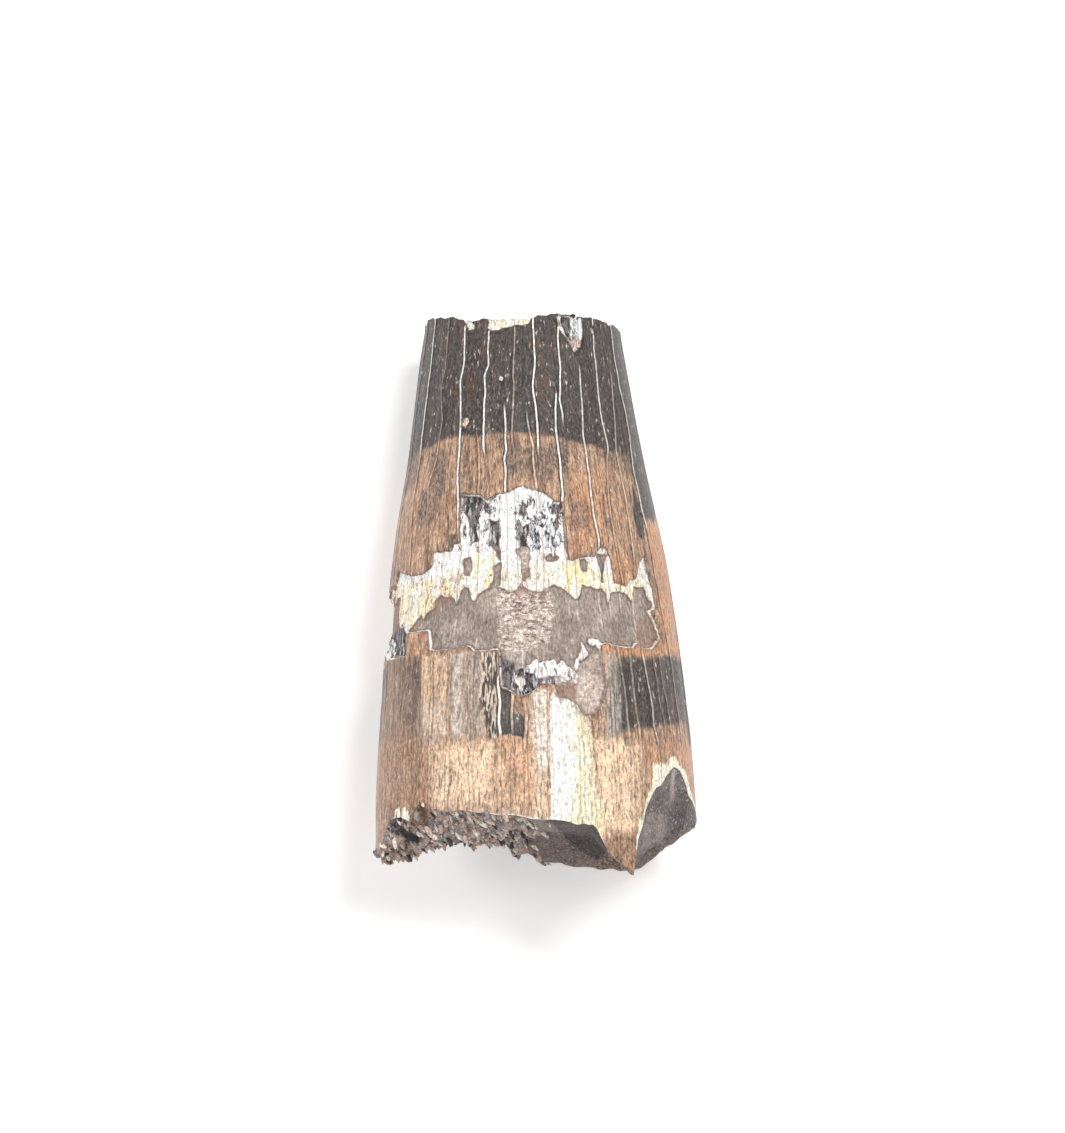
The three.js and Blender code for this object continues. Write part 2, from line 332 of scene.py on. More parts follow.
# %% Ridges that show, left to right
RIDGES = [
    (
        [(436, 320), (429, 389), (422, 440), (415, 497), (409, 568), (401, 690)],
        [(0.85, 316, 452), (0.5, 440, 570)],
    ),
    (
        [
            (449.5, 320), (446, 368), (441.5, 389), (442.7, 419), (437, 460), (429, 486),
            (428, 516), (424, 600), (421, 690),
        ],
        [(0.42, 318, 500)],
    ),
    ([(457, 325), (450, 440), (441, 560), (431.5, 655), (431, 740)], [(0.2, 660, 735)]),
    (
        [
            (465.6, 329), (464.5, 366), (461, 382), (462, 419), (460.6, 439), (458.7, 470),
            (457.6, 525), (458.7, 543), (452, 620), (449, 700),
        ],
        [(1.0, 330, 545)],
    ),
    ([(475, 330), (474, 400), (478, 441), (479.8, 455), (479, 489), (472, 700)], [(0.45, 436, 492)]),
    (
        [
            (489.7, 329), (488.6, 350), (489, 366), (485, 375), (485.8, 393), (484.7, 428),
            (484, 448), (489, 520), (495, 600), (497.5, 650), (498.5, 690), (499.5, 735),
        ],
        [(1.0, 329, 452), (1.0, 652, 734)],
    ),
    (
        [
            (501, 330), (503, 380), (504.6, 412), (505, 451), (503.5, 458), (506, 474),
            (506, 550), (509, 620), (511, 690), (512, 730),
        ],
        [(0.8, 405, 600), (0.6, 688, 732)],
    ),
    (
        [(513.8, 329), (513.4, 382), (512.7, 412), (511.5, 435), (515, 520), (521, 640), (524.5, 715)],
        [(0.55, 329, 438), (0.6, 712, 744)],
    ),
    (
        [(524, 330), (526.5, 414), (528.7, 432), (533.3, 448), (535.6, 478), (537, 600), (538, 740)],
        [(0.6, 412, 490)],
    ),
    (
        [
            (532, 322), (533.8, 350), (532.7, 386), (536.3, 412), (537, 426), (538, 446),
            (541, 488), (545, 600), (549, 700), (550, 800),
        ],
        [(0.95, 322, 448)],
    ),
    (
        [
            (549, 330), (555.6, 398), (555.8, 426), (557.4, 439), (559.7, 458), (560, 478),
            (563, 516), (565, 541), (566.6, 558), (573, 650), (580, 720),
        ],
        [(1.0, 392, 560)],
    ),
    (
        [
            (557.4, 320), (557.9, 352), (559.7, 382), (560, 398), (562.5, 414), (571, 520),
            (582, 640), (590, 720),
        ],
        [(1.0, 320, 420)],
    ),
    (
        [
            (576, 330), (579.5, 380), (581, 400), (582, 432), (586, 455), (588.9, 478),
            (594, 516), (597.6, 546), (606, 640), (611, 696), (614.5, 735),
        ],
        [(0.75, 366, 548), (0.5, 690, 738)],
    ),
    (
        [(584, 330), (594, 440), (608, 560), (617.3, 649), (619.8, 663), (625.5, 705), (629.3, 731)],
        [(0.45, 648, 738)],
    ),
    (
        [
            (592.3, 317), (593.7, 347), (596.5, 377), (599.9, 412), (603.4, 432), (606.8, 448),
            (605.7, 461), (608, 486), (610, 516), (614.8, 543), (622.9, 585), (629.7, 661),
            (634, 700), (639.4, 731),
        ],
        [(0.75, 317, 456), (0.42, 440, 588), (0.5, 650, 738)],
    ),
    (
        [
            (600, 330), (610.3, 377), (612.5, 405), (614.8, 448), (619.4, 468), (624, 495),
            (628.6, 520), (633, 557), (641.3, 650), (648.5, 695), (656.6, 740),
        ],
        [(0.6, 372, 560), (0.65, 650, 742)],
    ),
    ([(606, 330), (651.3, 650), (657, 679), (659.5, 701), (663.3, 721)], [(0.35, 650, 725)]),
    ([(607.5, 328), (658.5, 660), (664.7, 695), (670.5, 722)], [(0.35, 655, 728)]),
    (
        [
            (610, 327), (612.5, 350), (618.3, 386), (624, 412), (628.6, 437), (633, 472),
            (639, 504), (645.8, 527), (650.4, 552), (656, 582), (663, 620), (673.3, 679), (680, 729),
        ],
        [(0.8, 327, 530), (0.5, 515, 735)],
    ),
]
LEFT_EDGE_RIDGE, RIGHT_EDGE_RIDGE = math.radians(-76), math.radians(84)
LEFT_EDGE_SHOW, RIGHT_EDGE_SHOW = 0.3, 0.4
BACK_RIDGE_COUNT = 15
RIDGE_ROWS = np.linspace(0, CROWN_LENGTH, 200)
WANDER, WANDER_LENGTH = 0.02, 4.0
BACK_WANDER, BACK_WANDER_LENGTH = 0.03, 3.0
KINK, KINK_LENGTH = 0.009, 1.2
SEED_SPACING = 7.7
MIN_GAP = math.radians(1.6)
TIP_PHOTO_ROW, NEAR_TIP_PHOTO_ROW = 324, 335


def wander(seed, length, height):
    """A ridge's own gentle wandering, in radians, at each of the ridge rows."""
    at = np.stack([RIDGE_ROWS, 0 * RIDGE_ROWS, 0 * RIDGE_ROWS + SEED_SPACING * seed], -1)
    return height * rough(at, length, 4)


def ridge_show_rows(stretches, pixels):
    """How strongly a ridge shows at each of the ridge rows."""
    total = np.zeros(len(RIDGE_ROWS))
    x_at = np.array(sorted((y, x) for x, y in pixels)).T
    for brightness, first_row, last_row in stretches:
        ends = [(np.interp(row, *x_at), row) for row in (last_row, max(first_row, TIP_PHOTO_ROW))]
        low, high = on_crown(ends)[1]
        high = high if first_row > NEAR_TIP_PHOTO_ROW else CROWN_LENGTH + 1
        begins = smoothstep(low - 0.5, low + 0.3, RIDGE_ROWS)
        fade = begins * (1 - smoothstep(high - 0.3, high + 0.3, RIDGE_ROWS))
        total = np.maximum(total, brightness * fade)
    return total


paths = [LEFT_EDGE_RIDGE + wander(0, WANDER_LENGTH, WANDER)]
shows = [np.full(len(RIDGE_ROWS), LEFT_EDGE_SHOW)]
for number, (pixels, stretches) in enumerate(RIDGES, 1):
    ridge_angle, ridge_along = on_crown(pixels)
    order = np.argsort(ridge_along)
    path = np.interp(RIDGE_ROWS, ridge_along[order], ridge_angle[order])
    paths.append(path + wander(number, KINK_LENGTH, KINK))
    shows.append(ridge_show_rows(stretches, pixels))
paths.append(RIGHT_EDGE_RIDGE + wander(40, WANDER_LENGTH, WANDER))
shows.append(RIGHT_EDGE_SHOW * smoothstep(7, 9, RIDGE_ROWS))
back_gap = (2 * math.pi + LEFT_EDGE_RIDGE - RIGHT_EDGE_RIDGE) / (BACK_RIDGE_COUNT + 1)
for i in range(1, BACK_RIDGE_COUNT + 1):
    path = RIGHT_EDGE_RIDGE + back_gap * i + wander(40 + i, BACK_WANDER_LENGTH, BACK_WANDER)
    paths.append(path + wander(80 + i, KINK_LENGTH, KINK))
    start = 12.0 + 3 * math.sin(i * 1.7)
    shows.append((0.5 + 0.4 * math.sin(i * 2.3)) * smoothstep(start - 1, start + 1, RIDGE_ROWS))
paths, shows = np.array(paths), np.array(shows)
for i in range(1, len(RIDGES) + 2):
    paths[i] = np.maximum(paths[i], paths[i - 1] + MIN_GAP)
print(len(paths), "ridges round the crown")

# %% [markdown]
# ## Columns and rows of the mesh
#
# The mesh's columns follow the ridges, so each crest is a row of real vertices and a thread
# finer than a tenth of a millimetre stays sharp. The side that the photograph shows gets closer
# columns than the back, and rows crowd where the layers flaked off.

# %% Columns between ridges
FRONT_SPACING, BACK_SPACING = 0.095, 0.2
CREST_HALF_WIDTH = 0.05
AVERAGE_RADIUS = 6.4
column_ridge, column_share = [], []
for i in range(len(paths)):
    follow = paths[(i + 1) % len(paths)] + (2 * math.pi if i + 1 == len(paths) else 0)
    gap = float(np.mean(follow - paths[i])) * AVERAGE_RADIUS
    spacing = FRONT_SPACING if i <= len(RIDGES) else BACK_SPACING
    inner = max(2, round(gap / spacing))
    foot = min(CREST_HALF_WIDTH / gap, 0.3)
    column_ridge += [i] * (inner + 2)
    column_share += [0.0, foot, *np.linspace(foot, 1 - foot, inner + 1)[1:-1], 1 - foot]
column_ridge, column_share = np.array(column_ridge), np.array(column_share)
closed_paths = np.vstack([paths, paths[:1] + 2 * math.pi])


def ridge_row(along):
    """The ridge row under each vertex, and the share of the way to the next one."""
    at = np.clip(along / CROWN_LENGTH * (len(RIDGE_ROWS) - 1), 0, len(RIDGE_ROWS) - 1.001)
    return at.astype(int), at % 1


def column_angles(along):
    """Angle of every column at its own distance along the crown, one value a vertex."""
    row, t = ridge_row(along)
    left = mix(closed_paths[column_ridge, row], closed_paths[column_ridge, row + 1], t)
    right = mix(closed_paths[column_ridge + 1, row], closed_paths[column_ridge + 1, row + 1], t)
    return mix(left, right, column_share)


print(len(column_ridge), "columns round the crown")

# %% Rows along the crown
ROW_COUNT = 205
FLAKED_FROM, FLAKED_TO, FLAKED_CROWDING = 9.0, 18.5, 0.7
ROOT_REACH, TIP_REACH = 9.0, 2.5
SETTLING_ROUNDS = 3
fine = np.linspace(0, CROWN_LENGTH, 800)
entering = smoothstep(FLAKED_FROM - 1, FLAKED_FROM, fine)
crowding = 1 + FLAKED_CROWDING * entering * smoothstep(FLAKED_TO + 1, FLAKED_TO, fine)
passed = np.cumsum(crowding) - crowding[0]
rows = np.interp(np.linspace(0, passed[-1], ROW_COUNT), passed, fine)
nominal = rows[:, None] * np.ones(len(column_ridge))
near_root = 1 - smoothstep(0, ROOT_REACH, nominal)
near_tip = smoothstep(CROWN_LENGTH - TIP_REACH, CROWN_LENGTH, nominal)
along = nominal
for _ in range(SETTLING_ROUNDS):
    angle = column_angles(along)
    along = nominal + root_edge(angle) * near_root + (tip_edge(angle) - CROWN_LENGTH) * near_tip
print("crown grid:", along.shape, "=", 2 * along.size, "triangles")

# %% [markdown]
# ## Outlines of the flaked layers
#
# Across the middle the enamel has flaked off and shows a white layer, and below that the white
# layer is gone too, down to grey dentine. Each outline was followed on the photograph. The
# signed distance to it, positive inside, says both how deep the surface lies and which finish
# shows, so colour and relief always meet at the same edge.


# %% Signed distance to an outline
REACH = 1.5


def unrolled(angle, along, middle=0.0):
    """The crown's skin laid flat, in millimetres, cut open opposite the middle angle."""
    return np.stack([np.radians(wrapped(angle - middle)) * AVERAGE_RADIUS, along], -1)


def distance_inside(outline, points):
    """Millimetres inside a closed outline, negative outside, and never under -REACH."""
    flat = points.reshape(-1, 2)
    result = np.full(len(flat), -REACH)
    low, high = outline.min(0) - REACH, outline.max(0) + REACH
    near = np.flatnonzero(((flat > low) & (flat < high)).all(1))
    p = flat[near]
    nearest = np.full(len(p), 1e9)
    inside = np.zeros(len(p), bool)
    for a, b in zip(outline, np.roll(outline, -1, axis=0)):
        side = b - a
        t = np.clip(((p - a) @ side) / max(side @ side, 1e-12), 0, 1)
        nearest = np.minimum(nearest, np.hypot(*(p - a - t[:, None] * side).T))
        if a[1] != b[1]:
            crosses = (a[1] > p[:, 1]) != (b[1] > p[:, 1])
            inside ^= crosses & (p[:, 0] < a[0] + (b[0] - a[0]) * (p[:, 1] - a[1]) / (b[1] - a[1]))
    result[near] = np.maximum(np.where(inside, nearest, -nearest), -REACH)
    return result.reshape(points.shape[:-1])


skin = unrolled(angle, along)
skin_place = np.stack([AVERAGE_RADIUS * np.sin(angle), AVERAGE_RADIUS * np.cos(angle), along], -1)


def followed(pixels):
    """Distance inside an outline followed on the photograph."""
    return distance_inside(unrolled(*on_crown(pixels)), skin)


def drawn(corners):
    """Distance inside an outline given in degrees round the crown and millimetres along it."""
    degrees, at = np.array(corners, float).T
    middle = math.radians(degrees.mean())
    return distance_inside(unrolled(np.radians(degrees), at, middle), unrolled(angle, along, middle))


# %% Where the enamel is gone
ENAMEL_LOST = [
    (380, 601), (392, 597), (398, 572), (410, 576), (421, 574), (429, 568), (431, 564), (432, 552),
    (440, 552), (451, 550), (452, 544), (458.7, 543), (460, 494), (472, 494), (479, 495), (486, 500),
    (492, 496), (498, 493), (506, 492), (513, 489), (522, 486), (530, 488), (537, 490), (544, 492),
    (550, 497), (555, 501), (562, 502), (563, 516), (566, 548), (568, 559), (573, 560), (580, 557),
    (587, 556), (596, 557), (599, 548), (603, 546), (608, 549), (609, 555), (612, 560), (614, 578),
    (615, 582), (628, 586), (630, 580), (638, 578), (639, 569), (641, 562), (645, 555), (650, 580),
    (654, 592), (656, 601), (658, 610), (651, 611), (654, 616), (657, 621), (660, 631), (662, 637),
    (660, 641), (657, 646), (653, 650), (646, 649), (643, 646), (639, 644), (635, 649), (630, 648),
    (616, 646), (608, 644), (601.5, 645.5), (601, 650), (603, 660), (605, 669), (607, 679),
    (609, 684), (607, 690), (604, 700), (602, 707), (598, 711), (592, 713), (586, 715), (582, 712),
    (579, 706), (575, 700), (558, 698), (555, 684), (549, 684), (540, 686), (533, 692), (528, 693.5),
    (523, 695.5), (517, 695.5), (512, 692), (505, 688.5), (500, 687), (498, 656), (497, 649),
    (483, 650.5), (473, 651.5), (469, 647.5), (465, 646), (460, 646.5), (458, 648.5), (452, 649),
    (433, 650.5), (427, 650), (426.6, 632), (425, 630.5), (413.6, 632), (405, 633), (404, 656),
    (397, 657), (391, 659), (384, 661.5), (380, 660),
]
ENAMEL_CHIPS = [
    [(556, 312), (582, 312), (583, 330), (582, 345), (575, 353), (567, 338), (559, 328)],
    [(462, 419), (466, 417), (469, 421), (466, 424), (465, 429), (462, 426)],
    [(461, 312), (465.6, 323), (468, 330), (472, 329), (476, 326), (470, 322), (478, 312)],
    [(484, 312), (489, 323), (485, 327), (490, 329.5), (501, 328.5), (515, 325), (530, 324), (531, 312)],
    [(592, 326), (595, 331), (599, 339), (596, 335), (591, 333)],
    [(498.5, 375), (503, 376), (502, 381), (498, 380)],
]
LOST_AT_BACK = [
    [
        (-66, 13.6), (-80, 13.9), (-97, 13.6), (-112, 13.9), (-126, 13.1), (-131, 12.5),
        (-118, 12.0), (-101, 11.2), (-83, 10.6), (-66, 10.9),
    ],
    [
        (168, 21.5), (176, 22.3), (191, 22.0), (198, 20.2), (196, 18.1), (188, 17.0), (181, 17.6),
        (176, 16.4), (170, 17.8), (166, 19.6),
    ],
    [
        (108, 9.4), (116, 10.6), (131, 10.2), (146, 11.0), (157, 10.1), (150, 8.8), (139, 8.2),
        (128, 8.6), (118, 7.9), (110, 8.3),
    ],
]
ragged = 0.04 * rough(skin_place, 0.4, 3, seed=4)
enamel_lost = followed(ENAMEL_LOST)
for corners in LOST_AT_BACK:
    enamel_lost = np.maximum(enamel_lost, drawn(corners) + 4 * ragged)
for pixels in ENAMEL_CHIPS:
    enamel_lost = np.maximum(enamel_lost, followed(pixels))
enamel_lost = enamel_lost + ragged

# %% Where the white layer is gone too
WHITE_RIM = 0.07
WHITE_LOST = [
    (404, 629), (409.7, 623), (413.6, 618), (418, 614), (420, 619), (422, 614), (426, 611),
    (430, 609), (432, 601), (433.5, 597), (438, 595), (446, 596), (451, 598), (452, 604),
    (454, 604), (456, 599), (458, 589), (462.5, 585), (466, 589), (468, 595), (470, 599),
    (474, 600), (475.5, 594), (480, 590), (488, 588), (489, 582), (492, 582), (494, 586),
    (504, 588), (507, 592), (516, 590.5), (519, 585), (520, 580), (523, 586), (532, 590),
    (538, 591.5), (544, 590.5), (549, 586), (553, 584), (557, 586), (563, 587), (568, 590.5),
    (572.5, 595), (576, 599), (580, 599), (582, 594), (584, 584), (588, 586), (597, 587),
    (603, 588), (606.5, 592), (608.6, 594), (609.8, 603), (611.5, 602), (613, 592), (620, 591),
    (627, 592), (631, 595), (636, 601), (637.6, 587), (640, 587), (647, 586), (652, 600),
    (670, 612), (670, 660), (615, 660), (615, 725), (570, 725), (495, 710), (495, 670), (404, 670),
]
WHITE_LOST_AT_LEFT = [
    (386, 627), (389, 621), (391, 626), (394, 621), (396, 629), (399, 626), (402, 634), (404, 670),
    (386, 670),
]
DARK_GAPS = [
    [
        (461, 498), (466, 495), (475, 496), (484, 498), (489, 503), (482, 505), (478, 510),
        (480, 516), (476, 521), (473, 528), (476, 541), (470, 544), (467, 535), (468, 527),
        (464, 516), (461, 512),
    ],
    [
        (488, 519), (491, 521), (497, 519), (500, 527), (498, 540), (499, 560), (495, 556),
        (492, 548), (487, 539),
    ],
    [(482, 503), (487, 505), (488, 512), (484, 510)],
    [(521, 502), (525, 503), (526, 512), (523, 521), (519, 512)],
    [(518, 521), (523, 524), (530, 521), (530, 531), (527, 541), (530, 549), (522, 552), (518, 538)],
    [
        (515, 549), (526, 548), (529, 556), (527, 563), (530, 574), (524, 581), (520, 570),
        (521, 559), (516, 553),
    ],
    [(554, 503), (560, 505), (561, 518), (560, 530), (556, 534), (557, 520)],
    [(562, 312), (572, 312), (573, 326), (571, 340), (567, 336), (563, 324)],
    [(460, 558), (469, 558), (470, 567), (467, 575), (461, 572)],
    [(489, 562), (494, 564), (499, 562), (498, 575), (499, 585), (490, 586), (491, 574)],
    [(545, 557), (550, 555), (554, 558), (560, 554), (561, 558), (556, 559), (548, 560)],
    [(580, 558), (585, 557), (590, 562), (588, 573), (585, 573), (581, 566)],
    [(599, 554), (607.5, 555), (606, 566), (606, 573), (604, 581), (602, 568)],
    [(634, 558), (640, 558), (639, 574), (633, 577)],
]
WHITE_KEPT = [
    [
        (525, 663), (530, 666), (536, 660), (541, 664), (550, 662), (554.5, 659), (558, 664),
        (564, 660), (571, 668), (578, 675), (576.6, 681), (571, 679), (566, 683), (561, 677),
        (556.8, 679), (554.5, 683), (550, 676), (546, 675), (541, 678), (536, 677), (533, 672),
        (526, 671),
    ],
    [(516, 672), (521, 675), (524, 682), (520, 688), (517, 681)],
    [
        (574, 666), (578, 656), (583, 652), (584, 643), (590, 637), (597, 639), (601, 646), (594, 642),
        (588, 646), (588, 653), (583, 657), (581, 664), (577, 669),
    ],
    [(384, 636), (387, 634), (390, 645), (392, 654), (388, 655), (385, 650)],
]
PLATE = [
    (558, 664), (566, 668), (580, 664), (600, 652), (607, 684), (601, 706), (588, 714), (577, 700),
    (559, 698),
]
TORN_HEIGHT, TORN_MORE = 0.05, 2.5
torn = TORN_HEIGHT * rough(skin_place * (1, 1, 0.45), 0.3, 3, seed=9)
white_lost = np.maximum(followed(WHITE_LOST), followed(WHITE_LOST_AT_LEFT))
for pixels in DARK_GAPS:
    white_lost = np.maximum(white_lost, followed(pixels) + torn)
for pixels in WHITE_KEPT:
    white_lost = np.minimum(white_lost, -followed(pixels) + TORN_MORE * torn)
for corners in LOST_AT_BACK:
    white_lost = np.maximum(white_lost, drawn(corners) - 0.5 + 6 * torn)
on_plate = smoothstep(-0.2, 0, followed(PLATE))
rim_width = WHITE_RIM * (1 + 0.6 * rough(skin_place, 0.9, 2, seed=14)) * (1 - 0.7 * on_plate)
white_lost = np.minimum(white_lost + torn, enamel_lost - rim_width)
for layer, lost in (("enamel", enamel_lost), ("white layer", white_lost)):
    print(layer, "lost at", int((lost > 0).sum()), "vertices")

# %% [markdown]
# ## Tones of the skin
#
# Fossil enamel takes its colour from the ground water: dark bands, tan bands and pale spots. The
# pale patch low in the middle, and the light spots beside it, are partly paler enamel and partly
# painted highlight.
# Bands go round the whole crown, so they are given by the distance along it, and the edge of the
# dark tip was followed where the photograph shows it. Spots are outlines with a softness in
# millimetres and a strength, frayed a little by noise. These tones are stored at the vertices,
# and the finish adds the fine grain.

# %% Spots of each tone, as outline, softness and strength
SPOTS = {
    "dark": [
        ([(500, 688), (511, 690), (511.5, 734), (500, 733)], 0.03, 1.0),
        ([(512, 712), (524, 715), (525, 737), (512, 735)], 0.05, 1.0),
        ([(629, 450), (660, 455), (662, 500), (656, 524), (644, 519), (637, 490), (631, 468)], 0.25, 0.9),
        ([(630, 476), (636, 495), (641, 514), (645, 541), (638, 537), (633, 515)], 0.14, 0.85),
        ([(383, 662), (404, 657), (421, 655), (421, 736), (400, 745), (382, 738)], 0.05, 0.46),
        ([(402, 664), (421, 660), (421, 728), (402, 728)], 0.15, 0.56),
        ([(448, 534), (457, 534), (457, 548), (448, 548)], 0.05, 0.6),
        (
            [
                (608, 662), (620, 656), (640, 658), (662, 654), (700, 660), (703, 730), (680, 723),
                (640, 731), (612, 734), (607, 715),
            ],
            0.4, 0.95,
        ),
        ([(381, 560), (396, 566), (400, 575), (390, 585), (381, 580)], 0.2, 0.5),
    ],
    "smoke": [
        ([(494, 436), (540, 446), (572, 436), (566, 470), (540, 480), (506, 470)], 0.4, 0.8),
        ([(558, 440), (570, 446), (568, 470), (554, 468)], 0.2, 1.0),
        ([(432, 450), (446, 452), (445, 494), (432, 500)], 0.25, 1.0),
        ([(420, 492), (436, 494), (435, 522), (419, 526)], 0.3, 1.0),
        ([(404, 446), (428, 446), (418, 480), (404, 500), (392, 500)], 0.4, 1.0),
        ([(598, 436), (640, 440), (650, 500), (636, 486), (616, 466), (600, 456)], 0.4, 0.9),
        ([(568, 498), (586, 502), (588, 530), (572, 524)], 0.25, 0.7),
        ([(466, 440), (474, 445), (474, 490), (464, 490)], 0.2, 0.5),
        ([(630, 560), (650, 552), (654, 590), (640, 590)], 0.3, 0.4),
    ],
    "grey": [
        ([(448, 652), (463, 652), (463, 735), (452, 742), (449, 700)], 0.1, 0.9),
        ([(463, 652), (481, 652), (483, 735), (463, 742)], 0.15, 0.55),
        ([(604, 652), (618, 650), (622, 735), (606, 738)], 0.12, 0.6),
        ([(421, 700), (448, 700), (448, 742), (421, 742)], 0.3, 0.5),
    ],
    "streaky": [
        ([(481, 653), (498, 652), (499, 735), (488, 740), (480, 700)], 0.08, 1.0),
        ([(465, 653), (480, 653), (480, 735), (465, 742)], 0.15, 0.45),
        ([(528, 696), (548, 692), (549, 748), (530, 748)], 0.15, 0.25),
        ([(549, 796), (575, 800), (584, 814), (549, 812)], 0.15, 0.6),
    ],
    # Light spots: on the enamel they are partly paler tan and partly painted highlight, brightest low at
    # the left of the middle; on the dentine they mark the smooth plate.
    "light": [
        ([(432, 745), (494, 745), (492, 805), (434, 805)], 0.5, 1.0),
        ([(430, 745), (640, 745), (640, 800), (610, 835), (430, 812)], 0.6, 0.42),
        ([(532, 694), (549, 692), (549, 830), (534, 826)], 0.15, 0.9),
        ([(422, 655), (448, 655), (449, 735), (422, 735)], 0.04, 0.6),
        ([(590, 735), (640, 745), (640, 830), (605, 832)], 0.4, 1.0),
        (PLATE, 0.06, 1.0),
    ],
    "orange": [
        ([(648, 520), (664, 530), (672, 600), (668, 650), (657, 600), (650, 556)], 0.25, 0.75),
        (
            [
                (609, 550), (613, 578), (616, 584), (629, 588), (631, 580), (638, 578), (639, 562),
                (626, 556),
            ],
            0.1, 0.45,
        ),
        ([(405.5, 634), (426, 631.5), (426.5, 655), (406, 657)], 0.03, 0.3),
        ([(570, 470), (600, 474), (606, 540), (570, 556)], 0.4, 0.45),
        ([(645, 745), (692, 742), (694, 800), (684, 765), (668, 752), (648, 770)], 0.3, 0.5),
        ([(600, 640), (616, 646), (640, 645), (690, 640), (690, 658), (602, 660)], 0.15, 0.7),
        ([(500, 738), (535, 740), (535, 808), (500, 800)], 0.3, 0.7),
    ],
    "brown": [
        ([(641, 618), (648, 614), (657, 622), (661, 637), (656, 647), (646, 648), (641, 636)], 0.08, 0.8),
        ([(512, 695), (523, 697), (524, 714), (512, 711)], 0.08, 0.8),
        ([(604, 840), (622, 834), (640, 840), (640, 880), (600, 880)], 0.15, 0.7),
        ([(376, 735), (424, 740), (428, 800), (404, 818), (380, 850)], 0.5, 0.45),
        ([(408, 808), (414, 797), (424, 800), (431, 806), (432, 813), (424, 820), (408, 824)], 0.08, 0.9),
        ([(559, 683), (577, 682), (579, 701), (559, 697)], 0.08, 1.0),
        ([(384, 592), (430, 580), (462, 572), (462, 592), (430, 612), (384, 640)], 0.2, 0.8),
        ([(524, 560), (548, 580), (548, 596), (516, 596)], 0.2, 0.5),
    ],
    "pink": [
        (
            [(496, 588), (520, 592), (548, 588), (556, 600), (552, 640), (520, 652), (498, 650)],
            0.12, 0.75,
        ),
        (PLATE, 0.06, 0.3),
        ([(519, 548), (529, 546), (528, 572), (531, 590), (520, 590), (521, 566)], 0.12, 0.6),
        ([(567, 338), (582, 338), (584, 354), (572, 354)], 0.05, 1.0),
    ],
    "gold": [
        ([(530, 560), (562, 560), (562, 592), (530, 592)], 0.2, 0.45),
        ([(562, 560), (594, 560), (590, 600), (562, 596)], 0.15, 1.0),
        ([(497, 558), (518, 558), (518, 592), (497, 592)], 0.15, 0.55),
        ([(470, 556), (492, 552), (492, 592), (470, 596)], 0.15, 0.9),
        ([(384, 592), (430, 580), (452, 572), (452, 596), (430, 622), (400, 636), (384, 642)], 0.2, 0.9),
        ([(588, 572), (650, 580), (652, 602), (590, 602)], 0.2, 0.8),
        ([(646, 588), (658, 588), (668, 650), (640, 652)], 0.15, 0.5),
        ([(443, 572), (462, 568), (462, 586), (443, 596)], 0.2, 0.5),
        ([(572, 700), (600, 730), (618, 760), (618, 840), (560, 840), (576, 790)], 0.3, 1.0),
        ([(464, 312), (531, 312), (531, 326), (464, 331)], 0.1, 0.7),
        ([(458, 413), (473, 413), (473, 433), (458, 433)], 0.05, 1.0),
        ([(386, 804), (414, 804), (414, 828), (386, 828)], 0.05, 0.5),
        ([(630, 750), (704, 750), (704, 850), (640, 880), (630, 860)], 0.1, 0.55),
    ],
    "broken": [
        ([(458, 494), (500, 494), (500, 546), (458, 546)], 0.1, 0.75),
        ([(515, 498), (564, 498), (566, 545), (540, 548), (515, 545)], 0.12, 1.0),
        ([(499, 656), (516, 662), (516, 692), (500, 690)], 0.2, 0.65),
        ([(515, 668), (545, 664), (582, 676), (556, 694), (514, 696)], 0.1, 0.9),
        ([(562, 312), (580, 312), (580, 342), (566, 338)], 0.05, 1.0),
        ([(384, 622), (402, 622), (402, 656), (384, 656)], 0.08, 0.8),
    ],
    "pale": [
        ([(530, 690), (549, 686), (549, 770), (536, 770)], 0.15, 0.5),
        ([(394, 818), (395, 809), (399, 808), (400, 822), (394, 824)], 0.03, 1.0),
        ([(401.5, 818), (403, 808), (407, 811), (409.5, 824), (402, 824)], 0.03, 1.0),
        (
            [
                (637, 862), (637, 838), (639, 820), (643, 814.5), (645.3, 803), (647.3, 792),
                (651, 787), (651.9, 776.7), (651, 763), (659.6, 763), (661.3, 764), (668.8, 764),
                (670.2, 757.2), (674, 756.6), (678, 761.2), (679.1, 766.4), (683.7, 767.6),
                (686.6, 774.4), (689.5, 786), (694, 802), (698, 815), (690, 840), (650, 872),
            ],
            0.03, 1.0,
        ),
    ],
}
frayed = 0.05 * rough(skin_place * (1, 1, 0.4), 0.6, 4, seed=21)
tones = {}
for tone, spots in SPOTS.items():
    tones[tone] = np.zeros(along.shape)
    for pixels, softness, strength in spots:
        inside = smoothstep(-softness, softness, followed(pixels) + frayed * (1 + 4 * softness))
        tones[tone] = np.maximum(tones[tone], strength * inside)

# %% Bands round the crown, the pale patch with its painted highlight, and the pale rim
TIP_BAND_EDGE = [
    (405, 474), (412, 460), (420, 450), (430, 446), (461, 437), (508, 434), (545, 436), (576, 441),
    (602, 448), (632, 458),
]
TIP_BAND_START_BEHIND = 20.1
LOW_BAND_START, LOW_BAND_END = 6.2, 10.6
PALE_PATCH_WITH_HIGHLIGHT_LEFT_EDGE = [(549, 690), (640, 690), (640, 860), (551, 860)]
PALE_PATCH_WITH_HIGHLIGHT = [
    (520, 700), (568, 698), (578, 716), (590, 745), (600, 785), (604, 815), (596, 845), (520, 845),
]
degrees = wrapped(angle)
streaked = 0.3 * rough(skin_place * (1, 1, 0.15), 0.35, 3, seed=17)
wobble = 0.15 * rough(skin_place, 2.0, 3, seed=11) + streaked
edge_angle, edge_along = on_crown(TIP_BAND_EDGE)
followed_edge = list(zip(np.degrees(edge_angle), edge_along))
